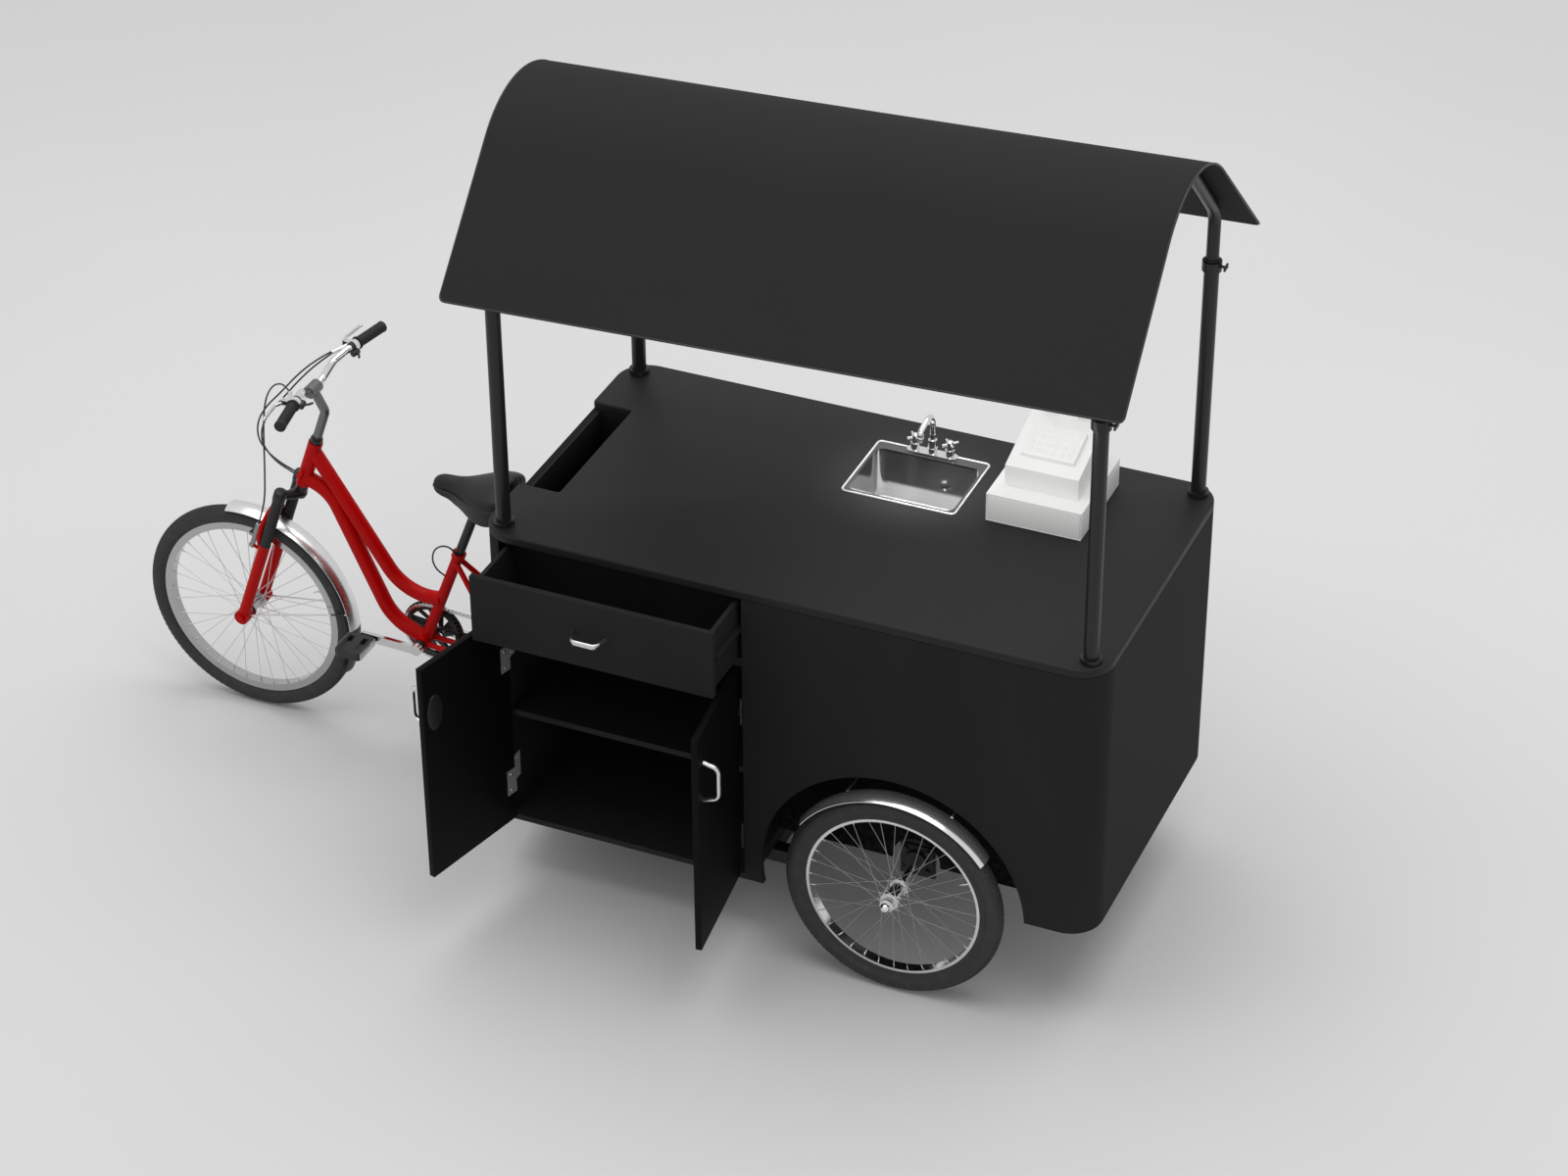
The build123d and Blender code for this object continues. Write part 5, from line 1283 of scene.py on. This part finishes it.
def hang_skirt(mesh, base):
    """Draws the lower sides of the pad down into a skirt, fills the top, and moves the wide part forward."""
    for vertex in mesh.vertices:
        along = min(1.0, max(0.0, (vertex.co.x - spot(nose_x, 0, 0).x) / (saddle_length / 1000)))
        vertex.co.x -= widening / 1000 * math.sin(math.pi * along)
        side = abs(vertex.co.y - middle_y) * 1000 / pad_half_width(along)
        outer = min(1.0, max(0.0, (side - 0.45) / 0.35, 1 - along / 0.08))
        height = vertex.co.z - base
        low = max(0.0, 1 - height / 0.030)
        deep = 0.010 + 0.028 * math.sin(math.pi * min(1.0, along / 1.4)) ** 2
        vertex.co.z += 0.28 * max(0.0, height - 0.012) - deep * low * outer


saddle_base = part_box("saddle")[0].z
pad_mesh = remeshed("saddle_pad", "saddle", 0.005, 0.97)
hang_skirt(pad_mesh, saddle_base)
pad = inflated("saddle_pad", pad_mesh, 4.0, 0.006, lambda place: place.z < saddle_base + 0.010)
pad_mesh = subdivided(pad, "saddle_pad", 1)
pad = add_piece("saddle_pad", pad_mesh, saddle_vinyl, "seat", ["saddle"])
near_edge = []
for share, half, rise in half_widths:
    x = nose_x + saddle_length * share - widening * math.sin(math.pi * share)
    near_edge.append((x, -half, piping_z + rise))
far_edge = [(x, -y, z) for x, y, z in reversed(near_edge)]
piping = tube("saddle_piping", [spot(*place) for place in near_edge + far_edge], 0.0022, cyclic=True)
add_piece("saddle_piping", piping, plastic_black, "seat")
print("saddle with", len(pad_mesh.polygons), "faces, its base at", saddle_base)

# %% [markdown]
# ## Canopy
# The canopy is one length of coated cloth, laid over the two hoops and pulled tight along both eaves. Its section
# is a round ridge with straight slopes, and the whole sheet leans a little towards the bicycle. Between the hoops
# it hangs a few millimetres, and the corners of its eaves are rounded. A bound edge runs all the way round.

# %% Canopy
ridge_radius = 300
ridge_centre = 1975
eave_y = 530
eave_z = 1877
tangent_y = 209.5
tangent_z = 2189.7
steep = math.asin(tangent_y / ridge_radius)
slope_length = math.hypot(eave_y - tangent_y, tangent_z - eave_z)
arc_half = ridge_radius * steep
half_cloth = slope_length + arc_half
sheet_front = -50
sheet_rear = 1770
sheet_length = sheet_rear - sheet_front
cloth_thickness = 3.4
eave_corner = 16
sheet_columns = 56
lean_x = 870
lean_z = 2076
canopy_lean = math.radians(2.15)
front_hoop_x = 52
rear_hoop_x = 1688


def canopy_point(x, run, depth):
    """A point of the sheet: x along the cart, run across it from the ridge, and depth under its outer face."""
    side = -1 if run < 0 else 1
    distance = abs(run)
    if distance <= arc_half:
        angle = distance / ridge_radius
        y = (ridge_radius - depth) * math.sin(angle)
        z = ridge_centre + (ridge_radius - depth) * math.cos(angle)
    else:
        along = (distance - arc_half) / slope_length
        y = tangent_y + (eave_y - tangent_y) * along - depth * math.sin(steep)
        z = tangent_z + (eave_z - tangent_z) * along - depth * math.cos(steep)
    off_x = x - lean_x
    off_z = z - lean_z
    leaned_x = lean_x + off_x * math.cos(canopy_lean) - off_z * math.sin(canopy_lean)
    leaned_z = lean_z + off_x * math.sin(canopy_lean) + off_z * math.cos(canopy_lean)
    return spot(leaned_x, side * y, leaned_z)


def sag(x, run):
    """How far the cloth hangs between the hoops and between ridge and eave."""
    between = max(0.0, math.sin(math.pi * (x - front_hoop_x) / (rear_hoop_x - front_hoop_x)))
    slope = math.sin(math.pi * min(1.0, abs(run) / half_cloth))
    return 3.0 * between * (0.4 + 0.6 * slope)


def canopy_rows():
    """Positions across the sheet, closer together near the eaves."""
    inner = [half_cloth * k / 28 for k in range(-27, 28)]
    edge = [half_cloth - step for step in (eave_corner, 9, 4, 1.2, 0)]
    return [-value for value in reversed(edge)] + inner + edge


def eave_inset(run):
    """How far the sheet's ends draw in at its rounded corners."""
    past = eave_corner - (half_cloth - abs(run))
    return 0.0 if past <= 0 else eave_corner - math.sqrt(max(0.0, eave_corner ** 2 - past * past))


def canopy_mesh():
    shape = bmesh.new()
    grids = []
    for depth in (0.0, cloth_thickness):
        grid = []
        for run in canopy_rows():
            inset = eave_inset(run)
            row = []
            for column in range(sheet_columns + 1):
                x = sheet_front + inset + (sheet_length - 2 * inset) * column / sheet_columns
                row.append(shape.verts.new(canopy_point(x, run, depth + sag(x, run))))
            grid.append(row)
        bridge(shape, grid, around=False)
        grids.append(grid)
    for end in (0, -1):
        bridge(shape, [grid[end] for grid in grids], around=False)
        bridge(shape, [[row[end] for row in grid] for grid in grids], around=False)
    return settle(shape, "canopy_cloth", 40)


def canopy_border():
    """Points round the sheet's edge, in the middle of its thickness."""
    rows = canopy_rows()
    deep = cloth_thickness / 2
    steps = [30 + (sheet_length - 60) * k / sheet_columns for k in range(1, sheet_columns)]
    border = [canopy_point(sheet_front + eave_inset(run), run, deep + sag(sheet_front, run)) for run in rows]
    border += [canopy_point(sheet_front + step, half_cloth, deep) for step in steps]
    rows.reverse()
    border += [canopy_point(sheet_rear - eave_inset(run), run, deep + sag(sheet_rear, run)) for run in rows]
    return border + [canopy_point(sheet_rear - step, -half_cloth, deep) for step in steps]


canopy = add_piece("canopy_cover", canopy_mesh(), canopy_cloth, "cart", ["canopy_sheet"])
binding_mesh = tube("canopy_binding", canopy_border(), 0.0028, smooth=False, cyclic=True)
binding = add_piece("canopy_binding", binding_mesh, plastic_black, "cart")

# %% [markdown]
# ## Boards
# A cut board never has a knife edge. The counter is made again as one slab with a rounded lip, the notch for the
# bin and the hole for the sink. The doors and the drawer front keep their solid shape and get a small radius, so
# that their edges catch a thin line of light.

# %% Counter, doors and drawer front
counter_z = 1135
counter_low_z = 1110
lip = 5.0
board_edge = 1.6


def counter_loop(inset):
    """The counter's outline in millimetres, moved inwards: the corners, and the notch at the bicycle end."""
    corners = (
        (1650, -385, 90 - inset, -90, 90), (1650, 385, 90 - inset, 0, 90), (90, 385, 90 - inset, 90, 90),
        (12, 239, 12 - inset, 180, 90), (112, 219, 8 + inset, 90, -90), (112, -219, 8 + inset, 0, -90),
        (12, -239, 12 - inset, 90, 90), (90, -385, 90 - inset, 180, 90),
    )
    return [point for corner in corners for point in arc(*corner, 12)]


def counter_mesh():
    shape = bmesh.new()
    levels = [(2.0, counter_low_z), (0.0, counter_low_z + 2)] + arc(lip, counter_z - lip, lip, 180, -90, 4)
    loops = [[shape.verts.new(spot(x, y, z)) for x, y in counter_loop(inset)] for inset, z in levels]
    hole = [(813.5, 78.5), (1122.5, 78.5), (1122.5, 311.5), (813.5, 311.5)]
    holes = [[shape.verts.new(spot(x, y, z)) for x, y in hole] for z in (counter_low_z, counter_z)]
    bridge(shape, loops)
    bridge(shape, holes)
    for end in (0, -1):
        edges = []
        for ring in (loops[end], holes[end]):
            edges += [shape.edges.get(pair) for pair in zip(ring, ring[1:] + ring[:1])]
        bmesh.ops.triangle_fill(shape, edges=edges, use_beauty=True)
    return settle(shape, "counter_slab", 40)


add_piece("counter_slab", counter_mesh(), counter_black, "cart", ["counter_top"])
add_rounded("left_door_board", "left_door", board_edge, door_black, "left_door")
add_rounded("right_door_board", "right_door", board_edge, door_black, "right_door")
add_rounded("drawer_front_board", "drawer_front", board_edge, panel_black, "drawer")
print("boards rounded")

# %% [markdown]
# ## Door fittings
# Each hinge leaf and each fixed plate is held by two cross-head screws. A closed door is easy to measure, so the
# screw places are given for the closed door and swung open with it. A dark oval rosette backs each handle on the
# inside of its door.

# %% Screws and rosettes
handle_from_hinge = 301
upwards = Vector((0, 0, 1))


def screw_head(radius):
    """A pan-head screw with a cross slot, facing Z."""
    outline = [(0, 2.0), (radius * 0.45, 1.9), (radius * 0.85, 1.2), (radius, 0.2), (radius, -0.4)]
    parts = [turned("head", outline, 16)]
    for turn_by in (0, math.pi / 2):
        bar = slab("slot", radius * 1.2, radius * 0.22, 0.5, 0.1)
        bar.transform(Matrix.Translation((0, 0, 0.0020)) @ Matrix.Rotation(turn_by, 4, "Z"))
        parts.append(bar)
    return joined("screw", parts, 30)


def opened(hinge_x, angle):
    """The turn about its hinge pin that takes a closed door to its open place."""
    pin = Matrix.Translation(spot(hinge_x, hinge_pin_y, 0))
    return pin @ Matrix.Rotation(math.radians(angle), 4, "Z") @ pin.inverted()


plate_places = []
plate_ways = []
doors = (("left", left_hinge, satin_steel), ("right", right_hinge, coat_black))
for name, (hinge_x, side, angle), screw_finish in doors:
    swing = opened(hinge_x, angle)
    inward = swing.to_3x3() @ Vector((0, 1, 0))
    places = []
    for height in (355, 760):
        for z in (height - 26, height + 26):
            places.append(swing @ spot(hinge_x + side * 22, -455, z))
            plate_places.append(spot(hinge_x - side, -432, z))
            plate_ways.append(Vector((side, 0, 0)))
    screws = on_spots(name + "_hinge_screws", places, [inward] * len(places), screw_head(4.2), screw_finish)
    add_piece(name + "_hinge_screws", screws, screw_finish, name + "_door")
    disc = turned("rosette", [(0, 3.0), (15, 3.0), (18, 1.8), (18.6, 0.0), (18.6, -0.4)], 40)
    disc.transform(Matrix.Diagonal((1.55, 3.0, 1.0, 1.0)))
    place = swing @ spot(hinge_x + side * handle_from_hinge, -457, door_handle_z)
    disc.transform(Matrix.Translation(place) @ axes(upwards.cross(inward), upwards, inward))
    add_piece(name + "_rosette", disc, plastic_black, name + "_door")
screws = on_spots("plate_screws", plate_places, plate_ways, screw_head(4.2), plate_metal)
add_piece("plate_screws", screws, plate_metal, "cart")
collar_places = []
collar_ways = []
for x in (front_hoop_x, rear_hoop_x):
    for y in (-420, 420):
        for angle in (60, 180, 300):
            way = Vector((math.cos(math.radians(angle)), math.sin(math.radians(angle)), 0))
            collar_places.append(spot(x, y, 1142) + way * 0.028)
            collar_ways.append(way)
screws = on_spots("collar_screws", collar_places, collar_ways, screw_head(3.2), coat_black)
add_piece("collar_screws", screws, coat_black, "cart")
print("screws on", len(plate_places) * 2, "hinge spots and", len(collar_places), "collar spots")

# %% [markdown]
# The left door's handle stands well off its door, so that its bow shows past the door's edge. The fittings are a
# copy of the solid ones, with the handle drawn out from the door's outer face. The drawer's handle is a shorter,
# rounder bow than the door handles, drawn in along the drawer and out in its middle.

# %% Door and drawer handles
foot_depth = 0.002
drawn_share = 0.55
bow_share = 0.78
bow_bulge = 0.16
hinge_x, side, angle = left_hinge
swing = opened(hinge_x, angle)
outward = swing.to_3x3() @ Vector((0, -1, 0))
door_face = swing @ spot(hinge_x + side * handle_from_hinge, -475, door_handle_z)
hinge_pin = spot(hinge_x, hinge_pin_y, door_handle_z)
shape = copied("left_door_hardware")
for vertex in shape.verts:
    off = (vertex.co - door_face).dot(outward)
    if off > foot_depth and (vertex.co - hinge_pin).length > 0.2:
        vertex.co += outward * (drawn_share * (off - foot_depth))
mesh = settle(shape, "left_door_fittings", 40)
add_piece("left_door_fittings", mesh, left_door_metal, "left_door", ["left_door_hardware"])
shape = copied("drawer_handle")
ends = [vertex.co.x for vertex in shape.verts]
bow_middle = (min(ends) + max(ends)) / 2
bow_half = (max(ends) - min(ends)) / 2
drawer_face = max(vertex.co.y for vertex in shape.verts)
for vertex in shape.verts:
    part = (vertex.co.x - bow_middle) / bow_half
    off = drawer_face - vertex.co.y
    vertex.co.x = bow_middle + bow_share * bow_half * part
    vertex.co.y -= bow_bulge * off * (1 - part * part)
add_piece("drawer_bow", settle(shape, "drawer_bow", 40), satin_steel, "drawer", ["drawer_handle"])
print("drawer handle", round(2000 * bow_share * bow_half), "mm long")

# %% [markdown]
# ## Till
# The till is a stack of plain white tiers. Moulded plastic has generous radii, so the housings are rounded
# copies. A raised key pad stands on the slope with rows of blank pale keys, and a pale window fronts the display.

# %% Till
till_x = 1346
slope_way = Vector((0, -58, 193)).normalized()
slope_up = Vector((0, 193, 58)).normalized()
slope_middle = spot(till_x, 232, 1282 + 58 * 93 / 193)
add_rounded("till_base", "till_case", 1.8, till_white, "cart")
add_rounded("till_housing", "till_keyboard", 6.0, till_white, "cart")
add_rounded("till_drawer", "cash_drawer", 1.2, till_white, "cash_drawer")
key_pad = slab("key_pad", 150, 112, 26, 5.0)
key_pad.transform(Matrix.Translation(slope_middle) @ axes((1, 0, 0), slope_up, slope_way))
add_piece("till_key_pad", key_pad, till_white, "cart")
key_places = []
for row in range(4):
    for column in range(6):
        along = Vector(((column - 2.5) * 0.0225, 0, 0))
        key_places.append(slope_middle + along + slope_up * ((row - 1.5) * 0.0245) + slope_way * 0.0122)
key = slab("key", 18.5, 19.5, 3.0, 1.2)
keys = on_spots("till_keys", key_places, [slope_way] * len(key_places), key, key_white)
add_piece("till_keys", keys, key_white, "cart")
window = slab("window", 118, 3.0, 24, 1.0)
window_lean = Matrix.Rotation(math.radians(-12), 4, "X")
window.transform(Matrix.Translation(spot(till_x, 330.8, 1383.5)) @ window_lean)
add_piece("till_window", window, key_white, "cart")
print("till with", len(key_places), "blank keys")

# %% [markdown]
# ## Sink
# The flange of the sink ends in a rolled bead, paler and half diffuse as a painted highlight. A pressed strainer
# sits in the drain, its holes black discs in two rings as painted shade. Each cross-handle of the tap has a small
# cap on top, and the spout ends in a knurled aerator.

# %% Sink fittings
sink_x = 968
drain = spot(sink_x, 195, 985.0)
tap_half = 50
bead_corners = ((819.5, 84.5, 180), (1116.5, 84.5, 270), (1116.5, 329.5, 0), (819.5, 329.5, 90))
bead_path = []
for x, y, start in bead_corners:
    bead_path += [spot(*point, 1136.6) for point in arc(x, y, 12.5, start, 90, 6)]
bead = tube("sink_bead", bead_path, 0.0030, smooth=False, cyclic=True)
add_piece("sink_bead", bead, bead_steel, "cart")
dish = turned("dish", [(0, 1.0), (14, 1.0), (17, 2.4), (25, 3.0), (26, 2.4), (26, 0.2), (0, 0.2)], 40)
add_piece("sink_strainer", at(dish, drain), chrome, "cart")
rings = []
# The strainer's holes are black discs on the dish: painted shade where real holes would show the dark drain.
for count, radius in ((6, 0.0055), (11, 0.0110)):
    dot = turned("hole", [(0, 1.25), (1.5, 1.25), (1.6, 0.6)], 10)
    rings.append(ring_of("strainer_holes", dot, plastic_black, count, radius))
holes = at(joined("strainer_holes", rings), drain)
add_piece("strainer_holes", holes, plastic_black, "cart")
for name, side in sides:
    cap = turned("cap", [(0, 4.2), (4, 3.8), (7, 2.6), (8.6, 0.6), (8.6, -1.0)], 24)
    at(cap, spot(sink_x + side * tap_half, 325.5, 1191.2))
    add_piece(name + "_tap_cap", cap, chrome, "tap_" + name)
ribbing = ring_of("aerator", slab("rib", 1.6, 1.1, 11, 0.3), chrome, 24, 0.0090)
collar = turned("aerator_collar", [(6.0, -7), (9.0, -7), (9.0, 7), (8.0, 8), (6.0, 8)], 32, closed=True)
aerator = at(joined("aerator", [ribbing, collar]), spot(sink_x, 233.5, 1240))
add_piece("tap_aerator", aerator, chrome, "spout")
print("sink fittings added")

# %% [markdown]
# ## Handlebar and pedals
# The grips are moulded rubber with finger rings and a flange at the inner end, so they are turned again with that
# outline. A small black shifter pod is clamped under the bar beside each grip, with a short thumb lever. Each pedal
# has a pressed cage with teeth along its front and rear edge.

# %% Grips, shifters and pedal cages
grip_outline = [(11.3, 0), (19, 0), (19.5, 1.5), (19, 3), (15.2, 5)]
for ring in range(15):
    start = 8 + 6.2 * ring
    grip_outline += [(15.0, start), (16.0, start + 1.2), (16.0, start + 3.0), (15.0, start + 4.2)]
grip_outline += [(15.6, 103), (16.8, 107), (16.6, 112), (13, 115), (0, 115)]
pod_outline = [(0, -13), (8, -13), (9.6, -11), (9.6, 10), (7.5, 13), (0, 13)]
band_outline = [(11.3, -4), (14.0, -4), (14.0, 4), (11.3, 4)]
for name, side in sides:
    inner = spot(-708.6, side * 183.9, bar_z)
    outer = spot(-687.4, side * 293.9, bar_z)
    grip = at(turned(name + "_grip", grip_outline, 28), inner, outer - inner)
    add_piece(name + "_grip", grip, grip_rubber, "steering", ["grips"])
for name, side in sides:
    along = Vector((21.2, side * 110, 0)).normalized()
    behind = Vector((along.y * side, -along.x * side, 0))
    bar_at = spot(-713.3, side * 156, bar_z)
    pod_at = bar_at + behind * 0.0155 + Vector((0, 0, -0.0115))
    pod = at(turned("pod", pod_outline, 28), pod_at, along)
    band = at(turned("band", band_outline, 28, closed=True), bar_at, along)
    thumb = tube("thumb", [pod_at, pod_at + behind * 0.016, pod_at + behind * 0.026 - along * 0.016], 0.0034)
    shifter = joined(name + "_shifter", [pod, band, thumb])
    add_piece(name + "_shifter", shifter, plastic_black, "steering")
cage_half = 41
tooth_outline = [(0, 3.2), (0.9, 2.6), (1.9, -0.5)]
for name, x, y, z in (("left", -611, -122, 372), ("right", -281, 122, 360)):
    parts = []
    places = []
    ways = []
    for edge_x in (x - cage_half, x + cage_half):
        strip = slab("cage", 2.4, 88, 20, 0.6)
        strip.transform(Matrix.Translation(spot(edge_x, y, z)))
        parts.append(strip)
        for k in range(9):
            for face in (-1, 1):
                places.append(spot(edge_x, y - 38 + 9.5 * k, z + face * 10))
                ways.append(Vector((0, 0, face)))
    parts.append(on_spots("teeth", places, ways, turned("tooth", tooth_outline, 6), crank_alloy))
    add_piece(name + "_pedal_cage", joined(name + "_pedal_cage", parts), crank_alloy, name + "_pedal")
print("grips, shifters and cages made")
